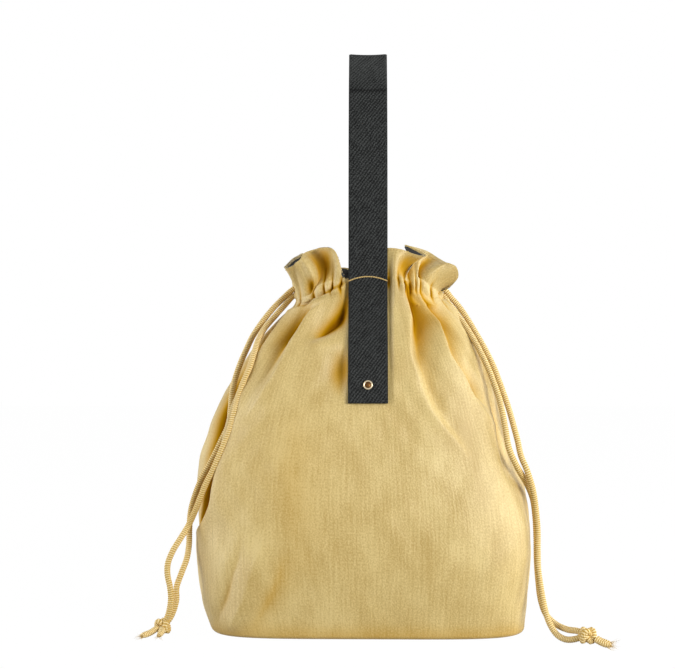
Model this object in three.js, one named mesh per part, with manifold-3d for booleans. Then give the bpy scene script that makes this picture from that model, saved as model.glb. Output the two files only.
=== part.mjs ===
// Insulated drawstring bag: canvas outside, foam and lining inside, a boxed flat base, a neck gathered
// by two cords in a casing, a ruffle above it and a webbing strap from front to back over the mouth.
// Millimetres, +Z up, front face towards -Y. The origin is on the floor, at the middle of the base.

import * as THREE from "three";
import { mergeVertices } from "three/addons/utils/BufferGeometryUtils.js";
import Module from "manifold-3d";

// Outside of the cloth at six heights: full width, full depth, how square the section is
// (2 is an ellipse, larger is squarer), and how far the full bag leans to the left there.
const BASE_WIDTH = 206;
const BASE_DEPTH = 126;
const BASE_SQUARENESS = 5;
const BELLY_HEIGHT = 50;
const BELLY_WIDTH = 224.5;
const BELLY_DEPTH = 142;
const BELLY_SQUARENESS = 4.2;
const BELLY_LEAN = 2.2;
const FLANK_HEIGHT = 102;
const FLANK_WIDTH = 215;
const FLANK_DEPTH = 140;
const FLANK_SQUARENESS = 3.6;
const FLANK_LEAN = 4;
const WAIST_HEIGHT = 150;
const WAIST_WIDTH = 186;
const WAIST_DEPTH = 127;
const WAIST_SQUARENESS = 3;
const WAIST_LEAN = 2.5;
const SHOULDER_HEIGHT = 182;
const SHOULDER_WIDTH = 157.5;
const SHOULDER_DEPTH = 109;
const SHOULDER_SQUARENESS = 2.7;
const SHOULDER_LEAN = 2.7;
const NECK_HEIGHT = 216;
const NECK_WIDTH = 100;
const NECK_DEPTH = 76;
const NECK_SQUARENESS = 2.3;

// Main folds of the front wall, from the left seam to the right one. Each line has its place across the
// half width at the flank and at the shoulder, and its height at the flank, the waist and the shoulder:
// ridges are above 0 and valleys below. The back wall has the same lines turned half round, and lower.
const FOLD_LINES = [
  [-0.985, -0.985, -2, -2.5, -1.5],
  [-0.935, -0.935, -6, -7, -5.5],
  [-0.84, -0.84, 0, 0.5, 1.5],
  [-0.765, -0.67, 0, 0, -4],
  [-0.7, -0.53, 0, 1, 4],
  [-0.4, -0.34, 0, 0, 1],
  [-0.15, -0.2, 0, 0, 0],
  [0.035, 0.03, 0, 0, 0],
  [0.2, 0.25, 0, 0, 0],
  [0.64, 0.39, 0, 2.5, 3.5],
  [0.72, 0.52, 0, -2, -6],
  [0.87, 0.7, 0, 0.5, 1.2],
  [0.92, 0.82, 0, -1, -4],
  [0.95, 0.9, -0.5, -4, -2],
  [0.985, 0.985, 0, -1, 0],
];
const BACK_FOLDS = 0.7;

// Rows of facets, counted from the floor, where the folds start, have their three heights and end; up to
// which row the stations are even; and from which row the fold lines move across no more.
const FOLD_ROWS = [2, 4, 6, 8, 9];
const EVEN_ROW = 1;
const SETTLED_ROW = 7;

// Layers, from the outside in
const CLEARANCE = 0.3;
const CANVAS_THICKNESS = 1.2;
const FOAM_THICKNESS = 3.5;
const FOAM_RIM_BELOW_WAIST = 1;
const LINING_THICKNESS = 0.8;
const LINING_RIM_BELOW_NECK = 4;
const BOARD_THICKNESS = 2;
const BASE_PAD_THICKNESS = 3.5;

// Casing, ruffle and how far the neck halves draw in
const CASING_HEIGHT = 15;
const CASING_DEPTH = 7;
const CASING_WALL = 1;
const EXIT_SLOT_WIDTH = 7;
const EXIT_SLOT_HEIGHT = 11.5;
const GATHER_TRAVEL = 10;
const RUFFLE_HEIGHT = 23;
const RUFFLE_SIDE_DROP = 12;
const RUFFLE_SIDE_FLARE = 11;
const RUFFLE_WAVE = 3.5;
const RUFFLE_WAVES = 7;

// Strap of flat webbing
const STRAP_WIDTH = 25;
const STRAP_THICKNESS = 1.6;
const STRAP_END_HEIGHT = 150.5;
const STRAP_CREASE_HEIGHT = 358;
const STRAP_CREASE_SPREAD = 44;
const STRAP_TOP_HEIGHT = 383;
const STRAP_TOP_SPREAD = 10;
const STRAP_BOW = 5;
const THREAD_DIAMETER = 0.8;
const THREAD_ARCH = 3;

// Rivet that holds each end of the strap
const RIVET_HEIGHT = 162;
const RIVET_DIAMETER = 6.1;
const RIVET_RISE = 1.3;
const RIVET_DISH_DIAMETER = 3.8;
const RIVET_DISH_DEPTH = 0.45;
const POST_DIAMETER = 2.5;
const POST_GRIP = 0.15;
const FLANGE_DIAMETER = 7.2;
const FLANGE_THICKNESS = 0.8;

// Drawstrings
const CORD_DIAMETER = 4;
const CORD_SPACING = 5;
const KNOT_DIAMETER = 11.2;

// Facets: one station at each fold line and at both seams of a half
const HALF_STATIONS = FOLD_LINES.length + 1;
const LEVEL_STEP = 24;
const CORD_SIDES = 8;
const CORD_STEP = 12;

// Each free strand starts at its exit in the casing, lies on the bag and ends at the knot on the floor.
const LEFT_KNOT = [-132.5, -49, 6];
const RIGHT_KNOT = [136.4, -80, 6];
const LEFT_UPPER_STRAND = [
  [-48.9, 0, 226], [-53, -0.5, 225.6], [-58, -2.5, 221.8], [-64.5, -6.5, 213.5], [-71.5, -11, 203],
  [-77, -16.5, 193], [-80.5, -24, 184.5], [-84, -29.5, 175.5], [-87, -33, 166], [-89.8, -37, 156],
  [-91.5, -42.5, 145.5], [-93.5, -46, 136.5], [-98, -47.5, 125.5], [-102.5, -48, 112.5], [-108, -46, 100.5],
  [-113.5, -41, 87], [-116.2, -37, 77], [-117, -36.5, 67], [-117, -38.5, 57], [-118, -42, 48.5],
  [-121.2, -45.5, 39], [-124, -47, 30.5], [-124.3, -47, 21.5], [-127.8, -47.2, 11.2],
];
const LEFT_LOWER_STRAND = [
  [-48.9, 0, 221], [-52, -0.5, 220.8], [-56, -3.5, 216], [-62.8, -9.5, 205.7], [-69, -18.7, 197.5],
  [-72.8, -29, 189.5], [-74.6, -37, 181.5], [-77, -42, 173], [-81, -44.5, 163], [-84.5, -47, 152.5],
  [-86.5, -50.5, 143], [-89, -53, 133], [-94.5, -55, 119], [-99.5, -55, 107.5], [-105, -53, 96.5],
  [-110.8, -49.5, 82.5], [-116.5, -44, 70.5], [-121.5, -47.5, 62], [-126, -50.5, 54.5], [-129, -52, 46.5],
  [-129.2, -52.5, 39.5], [-127.5, -53, 31.5], [-127, -53.3, 23.5], [-129.8, -52.8, 11],
];
const RIGHT_UPPER_STRAND = [
  [48.9, 0, 226], [52.5, -0.5, 225.2], [57.4, -0.8, 220.8], [62, -2.2, 214.6], [66.8, -6.8, 205.4],
  [71.8, -12.5, 195.3], [77, -18, 185], [82.2, -24, 174], [85.3, -29.5, 164], [88.5, -33, 154],
  [90.7, -37, 145], [93.4, -41, 136], [95.8, -44.5, 126], [97.2, -47.5, 116], [102.1, -50.5, 107],
  [105.9, -49, 95], [108.2, -46.5, 82], [109.5, -45.5, 68], [109.4, -47, 55], [109.4, -49.5, 44],
  [110.8, -52, 32], [112.5, -55.5, 21], [115, -60, 11.5], [119.1, -65, 4.8], [124, -71, 2.7],
  [130.8, -77.4, 4],
];
const RIGHT_LOWER_STRAND = [
  [48.9, 0, 221], [52, -0.5, 220.8], [55.6, -3, 216], [60.2, -9, 206.5], [66, -15.4, 198],
  [71, -23.6, 189], [74.4, -33, 179], [77.3, -38.5, 169.5], [80.4, -42.5, 159], [82.8, -46.5, 149.5],
  [84.4, -49.5, 140.5], [86.8, -51.8, 131.5], [90.3, -53, 121.5], [95.8, -51.3, 109], [102.3, -44.3, 98.5],
  [107.4, -35.5, 87.5], [110, -27.5, 75], [111.2, -23.5, 60], [111.2, -25.5, 46], [111.3, -34, 33],
  [112, -42.5, 22], [114.6, -49, 14], [119.8, -55, 9.2], [126, -62.5, 7.6], [132.6, -75.6, 8.9],
];
const LEFT_FRONT_TAIL = [[-136.2, -54.2, 5], [-139.5, -58.5, 3.2], [-145, -65.5, 2.5]];
const LEFT_SHORT_TAIL = [[-132.4, -55.4, 4.6], [-132.6, -59, 3.2], [-133.5, -64, 2.5]];
const RIGHT_FRONT_TAIL = [[141.6, -84, 5], [145, -86, 3.4], [150, -88.5, 2.5]];
const RIGHT_SHORT_TAIL = [[142.9, -79.4, 4.8], [146, -80, 3.2], [151, -81.5, 2.5]];

const CANVAS = { color: 0xcdb06a, roughness: 0.85, metalness: 0 };
const LINING = { color: 0x33332f, roughness: 0.8, metalness: 0 };
const FOAM = { color: 0xe8e6df, roughness: 0.95, metalness: 0 };
const BOARD = { color: 0x8a8172, roughness: 0.9, metalness: 0 };
const WEBBING = { color: 0x353735, roughness: 0.75, metalness: 0 };
const BRASS = { color: 0xb08a4a, roughness: 0.35, metalness: 1 };
const CORD = { color: 0xd0a95c, roughness: 0.8, metalness: 0 };
const THREAD = { color: 0xd8c48c, roughness: 0.7, metalness: 0 };

const wasm = await Module();
wasm.setup();
const bag = new THREE.Group();

function add(name, geometry, finish, parent = bag) {
  const mesh = new THREE.Mesh(geometry, new THREE.MeshStandardMaterial(finish));
  mesh.name = name;
  parent.add(mesh);
}

// Half width, half depth, squareness and lean at each height, as one smooth curve through the six sections.
const SECTION_HEIGHTS = [0, BELLY_HEIGHT, FLANK_HEIGHT, WAIST_HEIGHT, SHOULDER_HEIGHT, NECK_HEIGHT];
const SECTION_SIZES = [
  BASE_WIDTH / 2, BASE_DEPTH / 2, BASE_SQUARENESS, 0,
  BELLY_WIDTH / 2, BELLY_DEPTH / 2, BELLY_SQUARENESS, BELLY_LEAN,
  FLANK_WIDTH / 2, FLANK_DEPTH / 2, FLANK_SQUARENESS, FLANK_LEAN,
  WAIST_WIDTH / 2, WAIST_DEPTH / 2, WAIST_SQUARENESS, WAIST_LEAN,
  SHOULDER_WIDTH / 2, SHOULDER_DEPTH / 2, SHOULDER_SQUARENESS, SHOULDER_LEAN,
  NECK_WIDTH / 2, NECK_DEPTH / 2, NECK_SQUARENESS, 0,
];
const sectionCurve = new THREE.CubicInterpolant(SECTION_HEIGHTS, SECTION_SIZES, 4);

function sectionAt(height) {
  const [halfWidth, halfDepth, squareness, lean] = sectionCurve.evaluate(Math.min(height, NECK_HEIGHT));
  return { halfWidth, halfDepth, squareness, lean };
}

// Point of a superellipse: a power of the cosine and sine keeps their signs.
function superellipse(halfWidth, halfDepth, squareness, angle) {
  const bend = (value) => Math.sign(value) * Math.abs(value) ** (2 / squareness);
  return new THREE.Vector2(halfWidth * bend(Math.cos(angle)), halfDepth * bend(Math.sin(angle)));
}

// Height of each fold line as straight runs that bend at rows of facets, so that the folds of nested
// layers stay parallel.
const foldHeights = FOLD_ROWS.map((row) => row * LEVEL_STEP);
const foldCurves = FOLD_LINES.map((line) =>
  new THREE.LinearInterpolant(foldHeights, [0, ...line.slice(2), 0], 1));

// Angle of a station, counted from the seam where its half starts. Stations are even at the base and
// follow the fold lines from the flank upwards.
function stationAngle(height, station) {
  const even = Math.PI * station / HALF_STATIONS;
  if (station % HALF_STATIONS === 0) return even;
  const { lerp, clamp, inverseLerp } = THREE.MathUtils;
  const [atFlank, atShoulder] = FOLD_LINES[station - 1];
  const row = height / LEVEL_STEP;
  const moved = clamp(inverseLerp(FOLD_ROWS[1], SETTLED_ROW, row), 0, 1);
  const place = lerp(atFlank, atShoulder, moved);
  const folded = Math.acos(-Math.sign(place) * Math.abs(place) ** (sectionAt(height).squareness / 2));
  return lerp(even, folded, clamp(inverseLerp(EVEN_ROW, FOLD_ROWS[1], row), 0, 1));
}

// Point of the front (-1) or back (1) wall, so far inside its outer face.
function wallPoint(side, height, inset, station) {
  const { halfWidth, halfDepth, squareness, lean } = sectionAt(height);
  const seam = station % HALF_STATIONS === 0;
  const fold = seam ? 0 : foldCurves[station - 1].evaluate(Math.min(height, NECK_HEIGHT))[0];
  const out = (side < 0 ? fold : BACK_FOLDS * fold) - inset;
  const angle = stationAngle(height, station) + (side < 0 ? Math.PI : 0);
  const { x, y } = superellipse(halfWidth + out, halfDepth + out, squareness, angle);
  return new THREE.Vector3(x - lean, y, height);
}

const stations = (count) => Array.from({ length: count }, (_, index) => index);

// Shared heights of the facets, so that nested layers have parallel facets.
function levels(from, to) {
  return [from, ...facetHeights.filter((height) => height > from && height < to), to];
}

function angles(from, to, count) {
  return Array.from({ length: count + 1 }, (_, index) => from + ((to - from) * index) / count);
}

// Closed solid between two grids of points of the same size. Columns turn to the left seen from
// outside while rows go up; a wrapped grid joins its last column to its first.
function thickSheet(outer, inner, wrapped = false) {
  const rows = outer.length;
  const columns = outer[0].length;
  const position = [...outer.flat(), ...inner.flat()].flatMap((point) => point.toArray());
  const out = (row, column) => row * columns + (column % columns);
  const into = (row, column) => rows * columns + out(row, column);
  const index = [];
  const quad = (a, b, c, d) => index.push(a, b, c, a, c, d);
  const spans = wrapped ? columns : columns - 1;
  for (let column = 0; column < spans; column += 1) {
    const next = column + 1;
    for (let row = 0; row < rows - 1; row += 1) {
      quad(out(row, column), out(row, next), out(row + 1, next), out(row + 1, column));
      quad(into(row, column), into(row + 1, column), into(row + 1, next), into(row, next));
    }
    quad(out(0, column), into(0, column), into(0, next), out(0, next));
    const top = rows - 1;
    quad(out(top, column), out(top, next), into(top, next), into(top, column));
  }
  if (!wrapped) {
    const last = columns - 1;
    for (let row = 0; row < rows - 1; row += 1) {
      quad(out(row, 0), out(row + 1, 0), into(row + 1, 0), into(row, 0));
      quad(out(row, last), into(row, last), into(row + 1, last), out(row + 1, last));
    }
  }
  const geometry = new THREE.BufferGeometry();
  geometry.setAttribute("position", new THREE.Float32BufferAttribute(position, 3));
  geometry.setIndex(index);
  return geometry;
}

function toSolid(geometry) {
  const plain = geometry.clone();
  plain.deleteAttribute("normal");
  plain.deleteAttribute("uv");
  const merged = mergeVertices(plain);
  const mesh = new wasm.Mesh({
    numProp: 3,
    vertProperties: Float32Array.from(merged.attributes.position.array),
    triVerts: Uint32Array.from(merged.index.array),
  });
  return new wasm.Manifold(mesh);
}

function cut(geometry, tool) {
  const { vertProperties, triVerts } = toSolid(geometry).subtract(toSolid(tool)).getMesh();
  const result = new THREE.BufferGeometry();
  result.setAttribute("position", new THREE.BufferAttribute(vertProperties, 3));
  result.setIndex(new THREE.BufferAttribute(triVerts, 1));
  return result;
}

// Front or back half of a wall layer; its side edges stop at the side seams.
function halfWall(side, from, to, inset, thickness) {
  const seam = CLEARANCE / 2;
  const layer = (depth) => levels(from, to).map((height) =>
    stations(HALF_STATIONS + 1).map((station) => {
      const point = wallPoint(side, height, depth, station);
      point.y = side * Math.max(Math.abs(point.y), seam);
      return point;
    }));
  return thickSheet(layer(inset), layer(inset + thickness));
}

function basePlate(bottom, thickness, inset) {
  const { halfWidth, halfDepth, squareness, lean } = sectionAt(bottom);
  const outline = angles(0, 2 * Math.PI, 2 * HALF_STATIONS).slice(0, -1)
    .map((angle) => superellipse(halfWidth - inset, halfDepth - inset, squareness, angle));
  const options = { depth: thickness, bevelEnabled: false };
  const plate = new THREE.ExtrudeGeometry(new THREE.Shape(outline), options);
  return plate.translate(-lean, 0, bottom);
}

// Frame on the flat facet of the cloth at the rivet: its local +Z points out of the cloth.
function rivetFrame(side) {
  const low = facetHeights.findLast((height) => height <= RIVET_HEIGHT);
  const high = facetHeights.find((height) => height > RIVET_HEIGHT);
  const lowDepth = sectionAt(low).halfDepth;
  const highDepth = sectionAt(high).halfDepth;
  const depth = THREE.MathUtils.mapLinear(RIVET_HEIGHT, low, high, lowDepth, highDepth);
  const lean = Math.atan2(lowDepth - highDepth, high - low);
  const group = new THREE.Group();
  group.position.set(0, side * depth, RIVET_HEIGHT);
  group.rotation.x = -side * (Math.PI / 2 - lean);
  group.updateMatrix();
  return group;
}

function drillRivetHole(geometry, frame) {
  const reach = 2 * (STRAP_THICKNESS + CANVAS_THICKNESS + CLEARANCE);
  const radius = POST_DIAMETER / 2 + CLEARANCE;
  const drill = new THREE.CylinderGeometry(radius, radius, reach, 12).rotateX(Math.PI / 2);
  return cut(geometry, drill.applyMatrix4(frame.matrix));
}

function rivetCap() {
  const radius = RIVET_DIAMETER / 2;
  const dish = RIVET_DISH_DIAMETER / 2;
  const socket = POST_DIAMETER / 2 + CLEARANCE;
  const socketTop = POST_GRIP + CLEARANCE;
  const floor = RIVET_RISE - RIVET_DISH_DEPTH;
  const edge = (radius - dish) / 3;
  const outline = [
    [0, socketTop], [socket, socketTop], [socket, 0], [radius, 0], [radius, RIVET_RISE - edge],
    [radius - edge, RIVET_RISE], [dish + edge / 2, RIVET_RISE], [dish, floor], [0, floor + edge / 4],
  ].map(([x, y]) => new THREE.Vector2(x, y));
  return new THREE.LatheGeometry(outline, 16).rotateX(Math.PI / 2);
}

function rivetPost(bottom, top) {
  const post = POST_DIAMETER / 2;
  const flange = FLANGE_DIAMETER / 2;
  const outline = [
    [0, bottom], [flange, bottom], [flange, bottom + FLANGE_THICKNESS], [post, bottom + FLANGE_THICKNESS],
    [post, top], [0, top],
  ].map(([x, y]) => new THREE.Vector2(x, y));
  return new THREE.LatheGeometry(outline, 16).rotateX(Math.PI / 2);
}

// Flat webbing along a path in the YZ plane. The path is the middle of the strap's thickness.
function webbing(path, halfWidths) {
  const face = (sign) => path.map((point, row) => {
    const before = path[Math.max(row - 1, 0)];
    const after = path[Math.min(row + 1, path.length - 1)];
    const along = after.clone().sub(before).normalize();
    const y = point.x - sign * along.y * STRAP_THICKNESS / 2;
    const z = point.y + sign * along.x * STRAP_THICKNESS / 2;
    return [-1, 0, 1].map((across) => new THREE.Vector3(across * halfWidths[row], y, z));
  });
  return thickSheet(face(1), face(-1));
}

// Sewn end of the strap, lying on the cloth from its cut end up to the top of the casing.
function strapEnd(side) {
  const face = (rise) => levels(STRAP_END_HEIGHT, casingTop).map((height) => {
    const y = side * (sectionAt(height).halfDepth + CLEARANCE + rise);
    return [side, 0, -side].map((across) => new THREE.Vector3(across * STRAP_WIDTH / 2, y, height));
  });
  return thickSheet(face(STRAP_THICKNESS), face(0));
}

// The loop's two ends are round about the swing axis, so that they turn clear of the sewn ends.
function strapLoop() {
  const radius = STRAP_WIDTH / 2;
  const foot = NECK_DEPTH / 2 + CLEARANCE + STRAP_THICKNESS / 2;
  const quarter = angles(Math.PI / 2, 0, 5).slice(0, -1);
  const straightTop = swingHeight + radius;
  const bowOut = (foot + STRAP_CREASE_SPREAD / 2) / 2 + STRAP_BOW;
  const leg = new THREE.CatmullRomCurve3([
    new THREE.Vector3(-foot, straightTop, 0),
    new THREE.Vector3(-bowOut, (straightTop + STRAP_CREASE_HEIGHT) / 2, 0),
    new THREE.Vector3(-STRAP_CREASE_SPREAD / 2, STRAP_CREASE_HEIGHT, 0),
  ]).getPoints(5);
  const topMiddle = STRAP_TOP_HEIGHT - STRAP_THICKNESS / 2;
  const half = [
    ...quarter.map((angle) => [-foot, swingHeight - radius * Math.sin(angle), radius * Math.cos(angle)]),
    [-foot, swingHeight, radius],
    ...leg.map((point) => [point.x, point.y, radius]),
    [-STRAP_TOP_SPREAD / 2, topMiddle, radius],
  ];
  half[0][2] = radius / 8;
  const whole = [...half, ...half.map(([y, z, width]) => [-y, z, width]).reverse()];
  return webbing(whole.map(([y, z]) => new THREE.Vector2(y, z)), whole.map((row) => row[2]));
}

function threadRow(side) {
  const y = side * (NECK_DEPTH / 2 + 2 * CLEARANCE + STRAP_THICKNESS + THREAD_DIAMETER / 2);
  const top = casingTop - THREAD_DIAMETER;
  const half = STRAP_WIDTH / 2;
  const arch = new THREE.QuadraticBezierCurve3(
    new THREE.Vector3(-half, y, top - THREAD_ARCH),
    new THREE.Vector3(0, y, top + THREAD_ARCH),
    new THREE.Vector3(half, y, top - THREAD_ARCH),
  );
  return tube(arch, THREAD_DIAMETER, 8, 6);
}

function tube(curve, diameter, steps, sides) {
  const section = angles(0, 2 * Math.PI, sides).slice(0, -1)
    .map((angle) => new THREE.Vector2(Math.cos(angle), Math.sin(angle)).multiplyScalar(diameter / 2));
  return new THREE.ExtrudeGeometry(new THREE.Shape(section), { extrudePath: curve, steps });
}

function cord(points) {
  const curve = new THREE.CatmullRomCurve3(points.map((point) => new THREE.Vector3(...point)));
  const steps = Math.max(2, Math.round(curve.getLength() / CORD_STEP));
  return tube(curve, CORD_DIAMETER, steps, CORD_SIDES);
}

function knot([x, y, z]) {
  const ball = new THREE.SphereGeometry(KNOT_DIAMETER / 2, 12, 8);
  return ball.translate(x, y, z);
}

// Angles of one neck half. Its innermost wall stops short of the middle by the distance that it draws in.
function neckAngles(side, count) {
  const stop = (GATHER_TRAVEL + 2 * CLEARANCE) / (NECK_WIDTH / 2 - CASING_DEPTH);
  const spread = Math.acos(stop ** (NECK_SQUARENESS / 2));
  const middle = side < 0 ? Math.PI : 0;
  return angles(middle - spread, middle + spread, count);
}

function neckPoint(inset, angle, height) {
  const { x, y } = superellipse(NECK_WIDTH / 2 - inset, NECK_DEPTH / 2 - inset, NECK_SQUARENESS, angle);
  return new THREE.Vector3(x, y, height);
}

// Cloth tunnel around one half of the neck, open at both ends, with a slot where the cords come out.
function casing(side) {
  const ring = (trim) => neckAngles(side, HALF_STATIONS).map((angle) => [
    neckPoint(trim, angle, casingTop - trim),
    neckPoint(trim, angle, NECK_HEIGHT + trim),
    neckPoint(CASING_DEPTH - trim, angle, NECK_HEIGHT + trim),
    neckPoint(CASING_DEPTH - trim, angle, casingTop - trim),
  ]);
  const tunnel = thickSheet(ring(0), ring(CASING_WALL), true);
  const slot = new THREE.BoxGeometry(CASING_DEPTH, EXIT_SLOT_WIDTH, EXIT_SLOT_HEIGHT);
  slot.translate(side * NECK_WIDTH / 2, 0, cordMiddle);
  return cut(tunnel, slot);
}

function tunnelCord(side, height) {
  const points = neckAngles(side, HALF_STATIONS).map((angle) => neckPoint(CASING_DEPTH / 2, angle, height));
  return tube(new THREE.CatmullRomCurve3(points), CORD_DIAMETER, HALF_STATIONS, CORD_SIDES);
}

// Half of the ruffle: it flares and droops towards the side and waves more and more towards its edge.
// It flares in width alone, so that the strap swings clear of it.
function ruffle(side, inset, thickness) {
  const count = 2 * HALF_STATIONS;
  const bottom = casingTop + CLEARANCE;
  const layer = (depth) => angles(0, 1, 4).map((rise) =>
    neckAngles(side, count).map((angle, station) => {
      const sideways = Math.cos(angle) ** 2;
      const wave = RUFFLE_WAVE * rise * sideways * Math.cos(2 * Math.PI * RUFFLE_WAVES * station / count);
      const flare = RUFFLE_SIDE_FLARE * sideways * Math.sin(rise * Math.PI / 2);
      const height = bottom + rise * (RUFFLE_HEIGHT - RUFFLE_SIDE_DROP * sideways ** 2);
      const halfWidth = NECK_WIDTH / 2 - depth + flare + wave;
      const { x, y } = superellipse(halfWidth, NECK_DEPTH / 2 - depth, NECK_SQUARENESS, angle);
      return new THREE.Vector3(x, y, height);
    }));
  return thickSheet(layer(inset), layer(inset + thickness));
}

// Heights that follow from the sizes above
const casingTop = NECK_HEIGHT + CASING_HEIGHT;
const cordMiddle = NECK_HEIGHT + CASING_HEIGHT / 2;
const swingHeight = casingTop + STRAP_WIDTH / 2 + 2 * CLEARANCE;
const wallBottom = CANVAS_THICKNESS + CLEARANCE;
const boardBottom = wallBottom;
const padBottom = boardBottom + BOARD_THICKNESS + CLEARANCE;
const liningBottom = padBottom + BASE_PAD_THICKNESS + CLEARANCE;
const foamInset = CANVAS_THICKNESS + CLEARANCE;
const liningInset = foamInset + FOAM_THICKNESS + CLEARANCE;
const foamTop = WAIST_HEIGHT - FOAM_RIM_BELOW_WAIST;
const liningTop = NECK_HEIGHT - LINING_RIM_BELOW_NECK;
const rowCount = Math.ceil(casingTop / LEVEL_STEP);
const rowHeights = Array.from({ length: rowCount }, (_, index) => (index + 1) * LEVEL_STEP);
const facetHeights = [...rowHeights, foamTop].sort((a, b) => a - b);

// Base, from the floor up
add("outer_base_panel", basePlate(0, CANVAS_THICKNESS, 0), CANVAS);
add("base_board", basePlate(boardBottom, BOARD_THICKNESS, foamInset), BOARD);
add("insulation_base", basePlate(padBottom, BASE_PAD_THICKNESS, liningInset), FOAM);
const liningInside = liningInset + LINING_THICKNESS;
add("lining_floor", basePlate(liningBottom, LINING_THICKNESS, liningInside + CLEARANCE), LINING);

// Walls, strap ends and rivets, front and back
for (const [place, side] of [["front", -1], ["back", 1]]) {
  const frame = rivetFrame(side);
  const panel = halfWall(side, wallBottom, NECK_HEIGHT - CLEARANCE, 0, CANVAS_THICKNESS);
  add(`outer_${place}_panel`, drillRivetHole(panel, frame), CANVAS);
  add(`insulation_${place}`, halfWall(side, padBottom, foamTop, foamInset, FOAM_THICKNESS), FOAM);
  add(`strap_${place}_end`, drillRivetHole(strapEnd(side), frame), WEBBING);
  add(`strap_${place}_thread`, threadRow(side), THREAD);
  const capSeat = STRAP_THICKNESS + 2 * CLEARANCE;
  const flangeBottom = -(CANVAS_THICKNESS + CLEARANCE + FLANGE_THICKNESS);
  const cap = new THREE.Group();
  cap.position.z = capSeat;
  frame.add(cap);
  add(`${place}_rivet_cap`, rivetCap(), BRASS, cap);
  add(`${place}_rivet_post`, rivetPost(flangeBottom, capSeat + POST_GRIP), BRASS, frame);
  bag.add(frame);
}

const liningRow = (side, height, inset) =>
  stations(HALF_STATIONS).map((station) => wallPoint(side, height, inset, station));
const liningLayer = (inset) => levels(liningBottom, liningTop).map((height) =>
  [...liningRow(1, height, inset), ...liningRow(-1, height, inset)]);
add("lining_wall", thickSheet(liningLayer(liningInset), liningLayer(liningInside), true), LINING);

// Neck halves: casing with the cords inside it, ruffle and the ruffle's lining
for (const [place, side] of [["left", -1], ["right", 1]]) {
  add(`${place}_casing`, casing(side), CANVAS);
  add(`${place}_tunnel_upper_cord`, tunnelCord(side, cordMiddle + CORD_SPACING / 2), CORD);
  add(`${place}_tunnel_lower_cord`, tunnelCord(side, cordMiddle - CORD_SPACING / 2), CORD);
  add(`${place}_ruffle`, ruffle(side, CLEARANCE, CANVAS_THICKNESS), CANVAS);
  add(`${place}_ruffle_lining`, ruffle(side, CANVAS_THICKNESS + 2 * CLEARANCE, LINING_THICKNESS), LINING);
}

// Strap over the mouth
add("strap_loop", strapLoop(), WEBBING);

// Free lengths of the drawstrings with their knots and tails
add("left_cord_upper_strand", cord(LEFT_UPPER_STRAND), CORD);
add("left_cord_lower_strand", cord(LEFT_LOWER_STRAND), CORD);
add("left_knot", knot(LEFT_KNOT), CORD);
add("left_front_tail", cord(LEFT_FRONT_TAIL), CORD);
add("left_short_tail", cord(LEFT_SHORT_TAIL), CORD);
add("right_cord_upper_strand", cord(RIGHT_UPPER_STRAND), CORD);
add("right_cord_lower_strand", cord(RIGHT_LOWER_STRAND), CORD);
add("right_knot", knot(RIGHT_KNOT), CORD);
add("right_front_tail", cord(RIGHT_FRONT_TAIL), CORD);
add("right_short_tail", cord(RIGHT_SHORT_TAIL), CORD);

export default bag;
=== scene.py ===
# %% [markdown]
# # An insulated drawstring bag
# The bag is a canvas sack with a boxed base. Two cords gather its neck inside a casing, a ruffle stands
# above the casing, and a webbing strap runs from the front over the mouth to the back. Inside are a
# foam layer and a dark lining.
#
# This lesson dresses a fixed frame of plain solids. The frame gives the places and the bodies that move.
# The knots and tails, the base layers, the threads, the rivets and the cords in the casing ride on those
# bodies; the other pieces stay where they are made.

# %% Load the frame
import math

import bpy
import numpy as np
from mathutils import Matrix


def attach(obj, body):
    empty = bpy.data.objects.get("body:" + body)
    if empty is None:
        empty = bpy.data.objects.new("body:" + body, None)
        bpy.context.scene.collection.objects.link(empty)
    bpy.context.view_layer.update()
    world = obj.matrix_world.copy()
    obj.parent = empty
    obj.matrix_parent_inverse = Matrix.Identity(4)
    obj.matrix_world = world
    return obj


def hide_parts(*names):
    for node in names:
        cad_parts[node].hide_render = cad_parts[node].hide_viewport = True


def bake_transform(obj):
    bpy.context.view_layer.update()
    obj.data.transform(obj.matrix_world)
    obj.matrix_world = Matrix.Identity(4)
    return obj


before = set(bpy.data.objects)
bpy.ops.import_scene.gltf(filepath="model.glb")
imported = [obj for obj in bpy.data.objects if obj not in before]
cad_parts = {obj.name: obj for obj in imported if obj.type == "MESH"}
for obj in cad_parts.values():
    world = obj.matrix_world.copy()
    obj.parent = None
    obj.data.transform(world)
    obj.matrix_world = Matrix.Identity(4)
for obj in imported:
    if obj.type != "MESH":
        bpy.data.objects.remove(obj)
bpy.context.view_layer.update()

# %% [markdown]
# ## The camera
# The picture is taken from straight in front of the strap, at the height of the bag's shoulder. The lens
# is long, so the strap keeps nearly the same width from its sewn end to its top. A camera in Blender
# looks along its own -Z axis, so it is turned a quarter turn up and then a little about the vertical.

# %% Camera
MM = 0.001
LENS_MM = 78.6
CAMERA_DISTANCE = 1000 * MM
CAMERA_HEIGHT = 194.2 * MM
CAMERA_AIM_X = -20.7 * MM
CAMERA_YAW = math.radians(-1.185)

camera = bpy.data.objects.new("camera", bpy.data.cameras.new("camera"))
bpy.context.scene.collection.objects.link(camera)
camera.data.lens = LENS_MM
camera.location = (
    CAMERA_AIM_X - CAMERA_DISTANCE * math.sin(CAMERA_YAW),
    -CAMERA_DISTANCE * math.cos(CAMERA_YAW),
    CAMERA_HEIGHT,
)
camera.rotation_euler = (math.pi / 2, 0, -CAMERA_YAW)
bpy.context.scene.camera = camera
bpy.context.scene.view_settings.view_transform = "Standard"
print("camera at", [round(value, 3) for value in camera.location])

# %% [markdown]
# ## Shader maths as Python
# A material is a tree of nodes. Writing it as arithmetic is easier to read than wiring boxes, so one
# small class wraps an output socket: an operator on it adds a Math node, and `node` adds any other node.

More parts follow.
